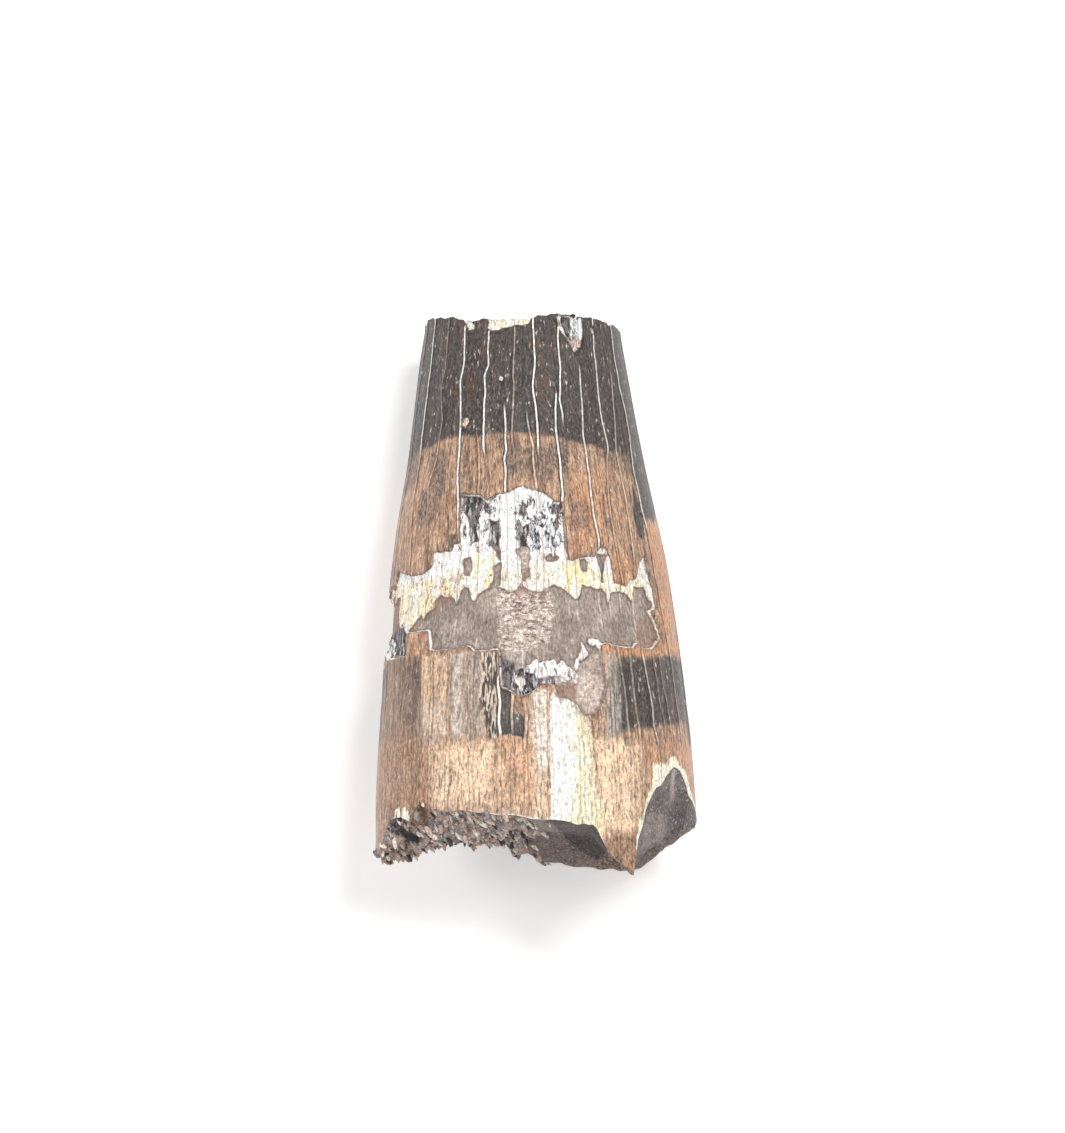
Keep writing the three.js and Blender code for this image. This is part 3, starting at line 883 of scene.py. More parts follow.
tip_band_start = [(-180, TIP_BAND_START_BEHIND), *followed_edge, (180, TIP_BAND_START_BEHIND)]
in_view = smoothstep(95, 75, np.abs(degrees))
from_tip_band = along + mix(0.35, 0.12, in_view) * rough(skin_place, 1.2, 4, seed=11)
from_tip_band = from_tip_band - smooth_through(tip_band_start, degrees)
tip_band = smoothstep(-0.32, 0.32, from_tip_band)
low_band = smoothstep(LOW_BAND_START, LOW_BAND_START + 0.7, along + wobble)
low_band = low_band * (1 - smoothstep(LOW_BAND_END - 0.6, LOW_BAND_END, along + wobble))
behind = smoothstep(72, 84, np.abs(degrees)) * (0.6 - 0.35 * np.cos(np.radians(degrees * 2)))
tones["dark"] = np.maximum.reduce([tones["dark"], tip_band, low_band * behind])
# The pale patch has a crisp left edge and fades to the right: partly paler enamel, partly painted
# highlight.
right_of_edge = smoothstep(-0.03, 0.03, followed(PALE_PATCH_WITH_HIGHLIGHT_LEFT_EDGE))
pale_patch_with_highlight = right_of_edge * smoothstep(-0.9, 0.6, followed(PALE_PATCH_WITH_HIGHLIGHT) + wobble)
root_rim = smoothstep(0.07, 0.02, along - root_edge(angle))
root_rim = root_rim * smoothstep(-22, -14, degrees) * (degrees < 19)
tones["pale"] = np.maximum.reduce([tones["pale"], pale_patch_with_highlight, 0.6 * root_rim])
print("tones:", ", ".join(tones))

# %% [markdown]
# ## Relief of the crown
#
# Levels come from the layers, ridges stand a little proud where the enamel is whole, and the
# lower third has a fine lengthwise grain in place of ridges.

# %% Lift above the plain form
ENAMEL_THICKNESS, WHITE_THICKNESS = 0.17, 0.13
RIDGE_HEIGHT, RIDGE_HALF_WIDTH = 0.07, 0.1
GRAIN_HEIGHT, SWELL_HEIGHT = 0.02, 0.04
EDGE_SOFTNESS = 0.055
row, part = ridge_row(along)
gap = (closed_paths[column_ridge + 1, row] - closed_paths[column_ridge, row]) * AVERAGE_RADIUS
to_left, to_right = column_share * gap, (1 - column_share) * gap
nearest_ridge = np.where(to_left <= to_right, column_ridge, (column_ridge + 1) % len(paths))
ridge_distance = np.minimum(to_left, to_right)
ridge_show = mix(shows[nearest_ridge, row], shows[nearest_ridge, row + 1], part)
whole = 1 - smoothstep(-EDGE_SOFTNESS, EDGE_SOFTNESS, enamel_lost)
layer_gone = smoothstep(-EDGE_SOFTNESS, EDGE_SOFTNESS, white_lost)
ridge_lift = RIDGE_HEIGHT * np.exp(-((ridge_distance / RIDGE_HALF_WIDTH) ** 2))
ridge_lift = ridge_lift * (0.35 + 0.65 * ridge_show)
ridge_lift = ridge_lift * whole * smoothstep(3.5, 7.0, along)
grain_lift = GRAIN_HEIGHT * rough(skin_place * (1, 1, 0.12), 0.4, 2, seed=2)
grain_lift = grain_lift * (1 - smoothstep(9, 13, along)) * whole
crusty = np.maximum(tones["pink"], tones["broken"])
flaky = (0.02 + 0.06 * crusty) * rough(skin_place * (1, 1, 0.7), 0.45, 3, seed=6) * (1 - whole)
swell = SWELL_HEIGHT * lumps(skin_place, 2.5, seed=1)
lift = ridge_lift + grain_lift + flaky + swell
lift = lift - ENAMEL_THICKNESS * (1 - whole) - WHITE_THICKNESS * layer_gone * (1 - whole)
crown = crown_point(angle, along, 1.0, lift)
print("lift from", round(float(lift.min()), 3), "to", round(float(lift.max()), 3), "mm")

# %% [markdown]
# ## The broken root face
#
# The face across the root is rough where sediment fills the pulp, and smoother to the right,
# where dense dentine broke in two facets that meet in a crest. A small pit lies at the left rim,
# and the struck flake left a steep scar down the corner. Rings of points run from the rim to the
# middle, pushed in and out along the axis.

# %% Rings across the root break
ROOT_FACE = {"level": 2.5, "fall_to_back": 0.45, "rise_to_right": 0.35, "rim_share": 0.6}
PULP_HOLLOW = {"depth": 0.8, "across": -0.25, "up": -0.1, "radius": 0.65}
RIM_PIT = {"depth": 1.5, "across": -0.78, "up": 0.1, "radius": 0.2}
CRUMBS = {"height": 0.34, "size": 0.75, "end": -0.02, "fade": 0.14}
FACET_CREST = {"across": 0.04, "lean": 0.2, "right_slope": 2.4, "left_slope": 0.9}
SCAR_LUMPS = {"height": 0.28, "size": 1.3}
root_angle = angle[0]


def dent(across, up, hollow):
    from_middle = np.hypot(across - hollow["across"], up - hollow["up"]) / hollow["radius"]
    return hollow["depth"] * (1 - smoothstep(0, 1, from_middle))


def root_ring(share):
    """Distance along the crown round one ring, and the masks that its finish needs."""
    across, up = share * np.sin(root_angle), share * np.cos(root_angle)
    flat = np.stack([across * ROOT_HALF_WIDTH, up * ROOT_HALF_DEPTH, across * 0], -1)
    end = CRUMBS["end"]
    crumbly = 1 - smoothstep(end - CRUMBS["fade"], end, across + 0.08 * rough(flat, 1.0))
    crumb = CRUMBS["height"] * rough(flat, CRUMBS["size"], 4, seed=3) * (0.2 + 0.8 * crumbly)
    from_crest = across - FACET_CREST["across"] - FACET_CREST["lean"] * (1 - up)
    slope = np.where(from_crest > 0, FACET_CREST["right_slope"], FACET_CREST["left_slope"])
    facet = slope * np.abs(from_crest) * (1 - crumbly)
    tilt = ROOT_FACE["rise_to_right"] * across - ROOT_FACE["fall_to_back"] * up
    middle = ROOT_FACE["level"] + tilt + dent(across, up, PULP_HOLLOW) + facet
    face = mix(middle, break_edge(root_angle), smoothstep(ROOT_FACE["rim_share"], 1, share))
    face = face + (crumb + dent(across, up, RIM_PIT)) * (1 - smoothstep(0.93, 1, share))
    scar = scar_edge(root_angle) - FLAKE_STEEPNESS * (1 - share) * HALF_WIDTHS[0][1]
    scar_place = np.stack([across * ROOT_HALF_WIDTH, up * ROOT_HALF_DEPTH, scar], -1)
    lumpy = np.abs(lumps(scar_place, SCAR_LUMPS["size"], seed=8))
    scar = scar + SCAR_LUMPS["height"] * lumpy * smoothstep(1, 0.97, share)
    return np.maximum(face, scar), {"crumbly": crumbly, "scar": (scar > face) * 1.0}


ROOT_RING_COUNT = 40
ROOT_SHARES = 1 - (np.arange(1, ROOT_RING_COUNT + 1) / (ROOT_RING_COUNT + 1)) ** 1.6
root_rings, root_masks = [], []
for share in ROOT_SHARES:
    level, masks = root_ring(share)
    root_rings.append(crown_point(root_angle, level, share))
    root_masks.append(masks)
root_pole = crown_point(0.0, root_ring(0.0)[0][:1], 0.0)[0]

# %% Spots on the root break, followed on the photograph
ROOT_SPOTS = {
    # The spot named facet is the facet turned away from the light; its darker paint is painted shade.
    "facet": (
        [(546, 815), (596, 822), (612, 851), (601, 858), (597, 861), (575, 848), (557, 829)],
        0.03,
    ),
    "stain": (
        [(409, 822), (412, 808), (417, 800), (424, 803), (428, 812), (430, 835), (420, 836), (412, 830)],
        0.1,
    ),
    # A near-black spot of painted shade in the crevice beside the pit.
    "crevice_shade": (
        [(399, 829), (408, 832), (418, 834), (424, 838), (418, 844), (408, 842), (402, 835)],
        0.05,
    ),
    "pit_lump": (
        [(389, 823), (394, 817), (402, 817), (407, 824), (408, 831), (400, 836), (391, 833)],
        0.05,
    ),
    "rusty": ([(374, 838), (390, 842), (412, 846), (410, 862), (374, 862)], 0.2),
    "tongue": (
        [(592, 868), (600, 858), (610, 850), (624, 862), (640, 874), (640, 884), (596, 884)],
        0.05,
    ),
    "scar_light": (
        [(645, 818), (652, 811), (661, 816), (666, 830), (668, 842), (650, 862), (640, 866)],
        0.1,
    ),
    "scar_streak": (
        [(672.6, 768), (675.8, 768), (674.4, 778), (674, 785), (674, 796), (670.8, 796), (670.2, 780)],
        0.06,
    ),
    "scar_dark": (
        [(689, 797), (683, 801), (678.6, 805), (672.8, 809), (668, 816), (678, 832), (698, 822)],
        0.04,
    ),
}
for share, ring, masks in zip(ROOT_SHARES, root_rings, root_masks):
    on_photo = np.stack(photo_pixel(ring), -1) / PIXELS_PER_MM
    for name, (pixels, softness) in ROOT_SPOTS.items():
        inside = distance_inside(np.array(pixels, float) / PIXELS_PER_MM, on_photo)
        masks[name] = smoothstep(-softness, softness, inside)
    masks["grainy"] = masks["crumbly"] * (1 - masks["crevice_shade"]) * (1 - masks["pit_lump"])
print("spots on the root break:", ", ".join(ROOT_SPOTS))

# %% Rings across the tip break
TIP_DISH = {"depth": 0.3, "rough": 0.3}
TIP_RING_COUNT = 16
tip_angle = angle[-1]
TIP_SHARES = 1 - (np.arange(1, TIP_RING_COUNT + 1) / (TIP_RING_COUNT + 1)) ** 1.2


def tip_face(share):
    across, up = section(tip_angle, np.full(len(tip_angle), CROWN_LENGTH), share)
    uneven = TIP_DISH["rough"] * rough(np.stack([across, up, across * 0 + 9], -1), 1.6, 4)
    dish = (1 - share) ** 0.7 * TIP_DISH["depth"] + np.minimum(1, 4 * (1 - share)) * uneven
    return mix(CROWN_LENGTH, tip_edge(tip_angle), share**2) - dish


tip_rings = [crown_point(tip_angle, tip_face(share), share) for share in TIP_SHARES]
tip_pole = crown_point(0.0, tip_face(0.0)[:1], 0.0)[0]
print(len(root_rings), "rings across the root and", len(tip_rings), "across the tip")

# %% [markdown]
# ## One closed mesh
#
# The rings are stacked from the middle of the root break, over the crown, to the middle of the
# tip break. The belly is cut level at the table, as on the solid. Edges at the breaks are
# marked sharp, so that smooth shading doesn't melt a fracture into the crown beside it.

# %% Stack the rings
rings = root_rings[::-1] + list(crown) + tip_rings
columns = len(column_ridge)
points = np.vstack([root_pole[None], *rings, tip_pole[None]])
points[:, 2] = np.maximum(points[:, 2], 0)
low, high = points.min(axis=0), points.max(axis=0)
points[:, :2] += ((box_low + box_high) / 2 - (low + high) / 2)[:2]

around = np.arange(columns)
following = (around + 1) % columns
first_of_ring = 1 + np.arange(len(rings))[:, None] * columns
a, b = first_of_ring[:-1] + around, first_of_ring[:-1] + following
c, d = first_of_ring[1:] + around, first_of_ring[1:] + following
quads = np.stack([a, b, d, c], -1).reshape(-1, 4)
root_fan = np.stack([np.zeros(columns, int), 1 + following, 1 + around], -1)
last_ring = first_of_ring[-1]
tip_fan = np.stack([last_ring + around, last_ring + following, np.full(columns, len(points) - 1)], -1)


def make_mesh(name, points, quads, triangles):
    mesh = bpy.data.meshes.new(name)
    mesh.vertices.add(len(points))
    mesh.vertices.foreach_set("co", (points / 1000).ravel())
    loops = np.concatenate([quads.ravel(), triangles.ravel()])
    starts = np.concatenate([np.arange(len(quads)) * 4, len(quads) * 4 + np.arange(len(triangles)) * 3])
    mesh.loops.add(len(loops))
    mesh.loops.foreach_set("vertex_index", loops)
    mesh.polygons.add(len(starts))
    mesh.polygons.foreach_set("loop_start", starts)
    mesh.update(calc_edges=True)
    mesh.validate()
    mesh.polygons.foreach_set("use_smooth", np.ones(len(starts), bool))
    return mesh


tooth_mesh = make_mesh("tooth_crown", points, quads, np.vstack([root_fan, tip_fan]))
tooth = bpy.data.objects.new("tooth_crown", tooth_mesh)
bpy.context.scene.collection.objects.link(tooth)
print(len(tooth_mesh.vertices), "vertices,", 2 * len(quads) + 2 * columns, "triangles")


# %% Tones as attributes of the mesh
def store(name, crown_values, root_values=0.0, tip_values=0.0):
    """One number a vertex, given for the crown's grid and for the rings of each break."""
    root_part = np.broadcast_to(root_values, (len(root_rings), columns))[::-1]
    tip_part = np.broadcast_to(tip_values, (len(tip_rings), columns))
    crown_part = np.broadcast_to(crown_values, along.shape)
    stacked = np.vstack([root_part, crown_part, tip_part]).ravel()
    values = np.concatenate([stacked[:1], stacked, stacked[-1:]])
    layer = tooth_mesh.attributes.new(name, "FLOAT", "POINT")
    layer.data.foreach_set("value", values.astype(np.float32))


store("enamel_lost", enamel_lost)
store("white_lost", white_lost)
store("ridge_distance", ridge_distance, 1.0, 1.0)
store("ridge_show", ridge_show * smoothstep(-0.02, -0.06, enamel_lost))
for tone, values in tones.items():
    store(tone, values)
for mask in root_masks[0]:
    store(mask, 0.0, np.array([masks[mask] for masks in root_masks]))
store("way_out", 1.0, 1.0, TIP_SHARES[:, None])


def moved_away(ring_points, offset):
    """Where a fracture face reads its pattern: its own place, moved away from the crown's."""
    return np.vstack(ring_points) + (0, 0, offset)


pattern_place = np.vstack([
    moved_away([root_pole[None], *root_rings[::-1]], 40),
    skin_place.reshape(-1, 3),
    moved_away([*tip_rings, tip_pole[None]], 80),
])
place_layer = tooth_mesh.attributes.new("skin_place", "FLOAT_VECTOR", "POINT")
place_layer.data.foreach_set("vector", pattern_place.astype(np.float32).ravel())
print("stored at the vertices:", ", ".join([*tones, *root_masks[0]]))

# %% Which faces are crown, root break and tip break
CROWN_SLOT, ROOT_SLOT, TIP_SLOT = 0, 1, 2
last_crown_ring = len(root_rings) + len(crown) - 1
ring_of_quad = np.arange(len(quads)) // columns
in_root, in_tip = ring_of_quad < len(root_rings), ring_of_quad >= last_crown_ring
slot_of_quad = np.select([in_root, in_tip], [ROOT_SLOT, TIP_SLOT], CROWN_SLOT)
slot_of_face = np.concatenate([slot_of_quad, np.full(columns, ROOT_SLOT), np.full(columns, TIP_SLOT)])
tooth_mesh.polygons.foreach_set("material_index", slot_of_face.astype(np.int32))
on_rim = np.zeros(len(points), bool)
for ring in (len(root_rings), last_crown_ring):
    on_rim[first_of_ring[ring] + around] = True
edge_ends = np.zeros(len(tooth_mesh.edges) * 2, np.int32)
tooth_mesh.edges.foreach_get("vertices", edge_ends)
sharp = on_rim[edge_ends.reshape(-1, 2)].all(axis=1)
sharp_layer = tooth_mesh.attributes.new("sharp_edge", "BOOLEAN", "EDGE")
sharp_layer.data.foreach_set("value", sharp)
print("sharp edges at the breaks:", int(sharp.sum()))

# %% [markdown]
# ## Writing finishes as sums
#
# A finish is a network of nodes, but it reads best as arithmetic. The class below wraps a socket
# so that `1 - mask * 0.5` adds the Math nodes by itself. Everything else, such as a noise or a
# colour mix, comes from one method that makes any node.


# %% A socket that can be calculated with
class Value:
    def __init__(self, finish, socket):
        self.finish, self.socket = finish, socket

    def math(self, operation, *others):
        inputs = {0: self, **dict(enumerate(others, 1))}
        return self.finish.node("ShaderNodeMath", {"operation": operation}, inputs)

    def __add__(self, other):
        return self.math("ADD", other)

    def __mul__(self, other):
        return self.math("MULTIPLY", other)

    def __sub__(self, other):
        return self.math("SUBTRACT", other)

    def __rsub__(self, other):
        return (self * -1).math("ADD", other)

    __radd__, __rmul__ = __add__, __mul__


# %% A finish, and one method that adds any node to it
class Finish:
    def __init__(self, name, **constants):
        self.material = bpy.data.materials.new(name)
        self.material.use_nodes = True
        self.tree = self.material.node_tree
        self.shader = self.tree.nodes["Principled BSDF"]
        for socket, value in constants.items():
            self.shader.inputs[socket.replace("_", " ")].default_value = value

    def node(self, kind, settings=None, inputs=None, output=0):
        made = self.tree.nodes.new(kind)
        for name, value in (settings or {}).items():
            setattr(made, name, value)
        for name, value in (inputs or {}).items():
            if isinstance(value, Value):
                self.tree.links.new(value.socket, made.inputs[name])
            else:
                made.inputs[name].default_value = value
        return Value(self, made.outputs[output])

    def feed(self, socket, value):
        self.tree.links.new(value.socket, self.shader.inputs[socket])

    def attribute(self, name, output="Fac"):
        return self.node("ShaderNodeAttribute", {"attribute_name": name}, output=output)

    def place(self, stretch=(1, 1, 1)):
        source = self.attribute("skin_place", "Vector")
        return self.node("ShaderNodeVectorMath", {"operation": "MULTIPLY"}, {0: source, 1: stretch})

    def noise(self, stretch, scale, detail=3.0, roughness=0.5, distortion=0.0):
        inputs = {"Vector": self.place(stretch), "Scale": scale, "Detail": detail}
        inputs.update({"Roughness": roughness, "Distortion": distortion})
        return self.node("ShaderNodeTexNoise", {"normalize": True}, inputs)

    def ramp(self, value, low, high, start=0.0, end=1.0):
        inputs = {"Value": value, "From Min": low, "From Max": high, "To Min": start, "To Max": end}
        return self.node("ShaderNodeMapRange", {"interpolation_type": "SMOOTHSTEP"}, inputs)

    def blend(self, factor, first, second):
        inputs = {0: factor, 6: first, 7: second}
        return self.node("ShaderNodeMix", {"data_type": "RGBA"}, inputs, output=2)

    def between(self, factor, pair):
        """A colour between the two paints of a named pair."""
        return self.blend(factor, *(paint(*mixed) for mixed in PAIRS[pair]))

    def over(self, factor, colour, name):
        """A colour with a named paint laid over it."""
        return self.blend(factor, colour, paint(*PAINTS[name]))

    def contrast(self, colour, brightness, saturation=1.0):
        inputs = {"Color": colour, "Value": brightness, "Saturation": saturation}
        return self.node("ShaderNodeHueSaturation", {}, inputs)

    def bump(self, height, strength, distance):
        inputs = {"Height": height, "Strength": strength, "Distance": distance / 1000}
        return self.node("ShaderNodeBump", {}, inputs)


def paint(red, green, blue):
    """A colour as a picture shows it, 0 to 255, turned into the light values that nodes use."""
    shown = [value / 255 for value in (red, green, blue)]
    return (*(((value + 0.055) / 1.055) ** 2.4 for value in shown), 1.0)


# %% [markdown]
# ## Paints
#
# The finishes mix a few dozen paints, picked beside the photograph and written as a picture
# shows them, 0 to 255. A pair is what a surface wanders between as a noise field rises. A single
# paint is laid over it, in flecks, dashes, threads or edges.

# %% Pairs of paints, and single paints
PAIRS = {
    # Enamel
    "tan": [(140, 104, 82), (214, 174, 142)], "soot": [(66, 55, 49), (140, 120, 106)],
    "char": [(36, 30, 28), (76, 66, 61)], "streaky block": [(62, 52, 46), (222, 204, 184)],
    "grey block": [(138, 128, 119), (228, 216, 203)], "rusty enamel": [(112, 80, 60), (172, 132, 104)],
    "chalk_and_highlight": [(255, 253, 246), (253, 236, 194)], "dull ridge": [(240, 200, 166), (196, 180, 166)],
    # White layer
    "white layer": [(255, 254, 251), (253, 240, 196)], "peach": [(146, 98, 74), (222, 170, 140)],
    "slate": [(54, 50, 54), (176, 176, 184)], "brown shards": [(142, 104, 80), (216, 184, 150)],
    "rosy white": [(150, 124, 112), (226, 206, 194)],
    # Dentine
    "dentine": [(148, 133, 124), (184, 168, 157)], "gap": [(44, 39, 40), (126, 120, 122)],
    "scab": [(116, 96, 88), (200, 178, 166)], "plate": [(178, 158, 146), (222, 202, 188)],
    # Root break
    "facet": [(106, 92, 85), (156, 139, 129)], "shaded facet": [(58, 51, 49), (92, 82, 78)],
    "struck scar": [(72, 64, 62), (122, 112, 108)],
    "foot of the scar": [(128, 114, 107), (164, 149, 141)], "crumbs": [(56, 49, 47), (158, 150, 148)],
    "rusty crumbs": [(110, 78, 58), (226, 178, 142)], "stain": [(92, 66, 52), (160, 124, 102)],
    "tongue": [(84, 68, 60), (184, 152, 134)], "pit lump": [(62, 55, 54), (150, 140, 134)],
    # Tip break and grains
    "tip dentine": [(150, 130, 114), (206, 186, 158)], "tip enamel": [(52, 44, 40), (96, 84, 76)],
    "stone": [(74, 67, 64), (164, 157, 156)],
}
PAINTS = {
    # Enamel
    "orange": (214, 150, 104), "pale tan and highlight": (255, 220, 186), "umber dash": (76, 55, 45),
    "cream thread": (255, 230, 204), "dusty char": (120, 102, 90), "brown cloud": (104, 74, 54),
    "grey glint": (150, 138, 128), "pale glint": (222, 210, 196), "olive dash": (150, 148, 112),
    "ochre grain": (214, 184, 146), "shade beside ridge": (36, 26, 22), "bright ridge": (255, 252, 246),
    "enamel step shade": (84, 58, 46),
    # White layer
    "ochre fleck": (178, 148, 96), "brown dash": (164, 130, 108), "brown crack": (160, 118, 92),
    "edge of white": (132, 98, 82),
    # Dentine
    "dentine thread": (222, 208, 198), "dentine crest": (232, 222, 214), "dentine dash": (104, 90, 83),
    "step shadow": (84, 70, 64), "gap shred": (216, 212, 212), "scab blister": (255, 242, 234),
    "brown dentine": (156, 124, 106),
    # Root break
    "facet pit": (58, 50, 47), "facet grit": (206, 188, 176), "shaded facet grit": (186, 176, 168),
    "scar lump": (138, 126, 120), "scar shade": (66, 60, 61), "scar streak": (188, 172, 164),
    "scar pit": (44, 40, 40), "scar grit": (196, 188, 184), "peach crumb": (214, 184, 168),
    "cream crumb": (246, 230, 216), "crevice_shade": (28, 24, 23),
    # Tip break and grains
    "growth ring": (112, 92, 78), "tip grit": (92, 78, 70), "tip cream": (236, 222, 200),
    "pulp": (62, 54, 50), "outer dentine": (238, 226, 196), "peach stone": (228, 198, 180),
    "white stone": (255, 246, 234), "stone dust": (92, 78, 72),
}
print(len(PAIRS), "pairs of paints and", len(PAINTS), "single ones")

# %% [markdown]
# ## Enamel, white layer and dentine
#
# One finish covers the crown, because the three layers meet along ragged lines. Enamel is glossy,
# wrinkled and streaked lengthwise, the white layer is chalky with cream stains, and dentine is a
# dull grey brown. Masks made from the signed distances choose between them. Each layer has its
# own short function, which reads the stored tones and the noise fields of the crown's finish:
# long streaks and threads, short dashes, torn shreds and shards, soft cloud, and fine grain.


# %% Enamel
def tan_colour(f, fields):
    streaks, threads = fields["streaks"], fields["threads"]
    tan = f.between(f.ramp(streaks, 0.3, 0.7), "tan")
    tan = f.over(f.attribute("orange") * f.ramp(threads, 0.2, 0.6, 0.6, 1), tan, "orange")
    # Paler tan with painted highlight where the light spots lie.
    tan = f.over(f.attribute("light") * f.ramp(streaks, 0.3, 0.6, 0.6, 1), tan, "pale tan and highlight")
    tan = f.over(f.ramp(fields["dashes"], 0.56, 0.62, 0, 0.7), tan, "umber dash")
    tan = f.over(f.ramp(threads, 0.54, 0.68, 0, 0.5), tan, "cream thread")
    smudge = f.noise((1, 1, 0.35), 1.3, 4.0, 0.65)
    stray_smoke = f.ramp(smudge, 0.52, 0.68, 0, 0.4)
    smoke = stray_smoke + f.attribute("smoke") * f.ramp(smudge, 0.32, 0.52, 0.45, 0.9)
    soot = f.between(f.ramp(fields["grain"], 0.4, 0.62), "soot")
    return f.blend(smoke.math("MINIMUM", 0.85), tan, soot)


def charred_colour(f, fields):
    grain, flecks = fields["grain"], fields["flecks"]
    char = f.between(f.ramp(grain, 0.38, 0.62), "char")
    char = f.over(f.ramp(fields["streaks"], 0.5, 0.66, 0, 0.4), char, "dusty char")
    char = f.over(f.ramp(fields["cloud"], 0.5, 0.68, 0, 0.5), char, "brown cloud")
    # Grey and pale specks on the dark enamel are painted glints, tiny highlights on its wrinkles.
    char = f.over(f.ramp(flecks, 0.58, 0.66, 0, 0.55), char, "grey glint")
    return f.over(f.ramp(flecks, 0.68, 0.71, 0, 0.9), char, "pale glint")


def streaky_colour(f, fields):
    return f.between(f.ramp(fields["dashes"], 0.44, 0.6), "streaky block")


def pale_patch_with_highlight_colour(f, fields):
    # Paler enamel with a painted highlight, white at the core and yellow where gold is stored.
    yellow = f.attribute("gold") * f.ramp(fields["streaks"], 0.3, 0.6, 0.4, 1)
    chalk_and_highlight = f.between(yellow, "chalk_and_highlight")
    chalk_and_highlight = f.over(f.ramp(fields["dashes"], 0.57, 0.64, 0, 0.55), chalk_and_highlight, "olive dash")
    return f.over(f.ramp(fields["grain"], 0.6, 0.7, 0, 0.5) * yellow, chalk_and_highlight, "ochre grain")


def ridge_threads(f, fields, enamel, shade):
    shown = f.attribute("ridge_show")
    away = f.attribute("ridge_distance")
    thread = (1 - f.ramp(away - shown * 0.014, 0.022, 0.044)) * f.ramp(shown, 0, 0.9)
    thread = thread * f.ramp(fields["threads"], 0.3, 0.5, 0.75, 1.0)
    # A dark line of painted shade runs along both sides of each raised crest.
    beside = f.ramp(away, 0.05, 0.07) * (1 - f.ramp(away, 0.085, 0.15))
    enamel = f.over(beside * (0.35 + shown * 0.6), enamel, "shade beside ridge")
    dull = f.between(shade, "dull ridge")
    return f.blend(thread, enamel, f.over(f.ramp(shown, 0.5, 0.9), dull, "bright ridge"))


def enamel_colour(f, fields):
    smudge = f.noise((1, 1, 0.3), 3.0, 4.0, 0.7)
    shade = f.ramp(f.attribute("dark") + (smudge - 0.5) * 0.5 + (fields["grain"] - 0.5) * 0.3, 0.2, 0.8)
    enamel = f.blend(shade, tan_colour(f, fields), charred_colour(f, fields))
    grey = f.between(f.ramp(fields["shreds"], 0.35, 0.6), "grey block")
    enamel = f.blend(f.attribute("grey") * 0.9, enamel, grey)
    rust = f.between(f.ramp(fields["grain"], 0.35, 0.65), "rusty enamel")
    enamel = f.blend(f.attribute("brown") * 0.85, enamel, rust)
    enamel = f.blend(f.attribute("streaky"), enamel, streaky_colour(f, fields))
    # Pale spots and rims laid over the rest; in the pale patch this is partly painted highlight.
    pale_patch_with_highlight_share = f.ramp(f.attribute("pale") + (fields["grain"] - 0.5) * 0.6, 0.2, 0.8)
    enamel = f.blend(pale_patch_with_highlight_share, enamel, pale_patch_with_highlight_colour(f, fields))
    return ridge_threads(f, fields, enamel, shade)


# %% White layer and dentine
def white_colour(f, fields):
    grain, gold = fields["grain"], f.attribute("gold")
    stain = f.noise((1, 1, 0.4), 2.6, 4.0, 0.7)
    white = f.between(f.ramp(stain, 0.4, 0.55) * gold, "white layer")
    white = f.over(f.ramp(grain, 0.6, 0.68) * gold * 0.6, white, "ochre fleck")
    white = f.over(f.ramp(fields["dashes"], 0.6, 0.66, 0, 0.6), white, "brown dash")
    crack = (1 - f.ramp(f.attribute("ridge_distance"), 0.015, 0.04)) * f.ramp(grain, 0.4, 0.5)
    white = f.over(crack * 0.7, white, "brown crack")
    rust = f.attribute("brown") * f.ramp(fields["shreds"], 0.52, 0.58)
    speckle = f.ramp(grain, 0.4, 0.6)
    white = f.blend(rust * 0.85, white, f.between(speckle, "peach"))
    broken = f.attribute("broken")
    slate = f.between(f.ramp(grain, 0.42, 0.58), "slate")
    slate = f.blend(f.ramp(broken, 0.1, 0.4), f.between(speckle, "brown shards"), slate)
    white = f.blend(f.ramp(fields["shards"] + broken * 0.12, 0.61, 0.64), white, slate)
    return f.blend(f.attribute("pink") * 0.8, white, f.between(speckle, "rosy white"))


def dentine_colour(f, fields):
    threads, cloud, grain = fields["threads"], fields["cloud"], fields["grain"]
    dentine = f.between(f.ramp(cloud, 0.35, 0.65), "dentine")
    dentine = f.over(f.ramp(threads, 0.54, 0.7, 0, 0.35), dentine, "dentine thread")
    crest = (1 - f.ramp(f.attribute("ridge_distance"), 0.02, 0.05)) * f.ramp(cloud, 0.45, 0.55)
    dentine = f.over(crest * 0.7, dentine, "dentine crest")
    dentine = f.over(f.ramp(fields["dashes"], 0.56, 0.66, 0, 0.5), dentine, "dentine dash")
    shadow = 1 - f.ramp(f.attribute("white_lost"), 0.0, 0.12)
    dentine = f.over(shadow * 0.6, dentine, "step shadow")
    gap = f.between(f.ramp(fields["shards"], 0.45, 0.56), "gap")
    gap = f.over(f.ramp(fields["shreds"], 0.54, 0.6, 0, 0.85), gap, "gap shred")
    dentine = f.blend(f.ramp(f.attribute("broken") + (grain - 0.5) * 0.8, 0.2, 0.7), dentine, gap)
    scab = f.noise((0.8, 0.8, 1.7), 4.2, 4.0, 0.75, 0.8)
    rosy = f.between(f.ramp(scab, 0.4, 0.48), "scab")
    rosy = f.over(f.ramp(scab, 0.51, 0.56), rosy, "scab blister")
    smooth_plate = f.between(f.ramp(cloud, 0.35, 0.65), "plate")
    dentine = f.blend(f.attribute("light") * 0.8, dentine, smooth_plate)
    dentine = f.blend(f.attribute("pink") * f.ramp(grain, 0.3, 0.5, 0.75, 1), dentine, rosy)
    return f.over(f.attribute("brown") * 0.8, dentine, "brown dentine")


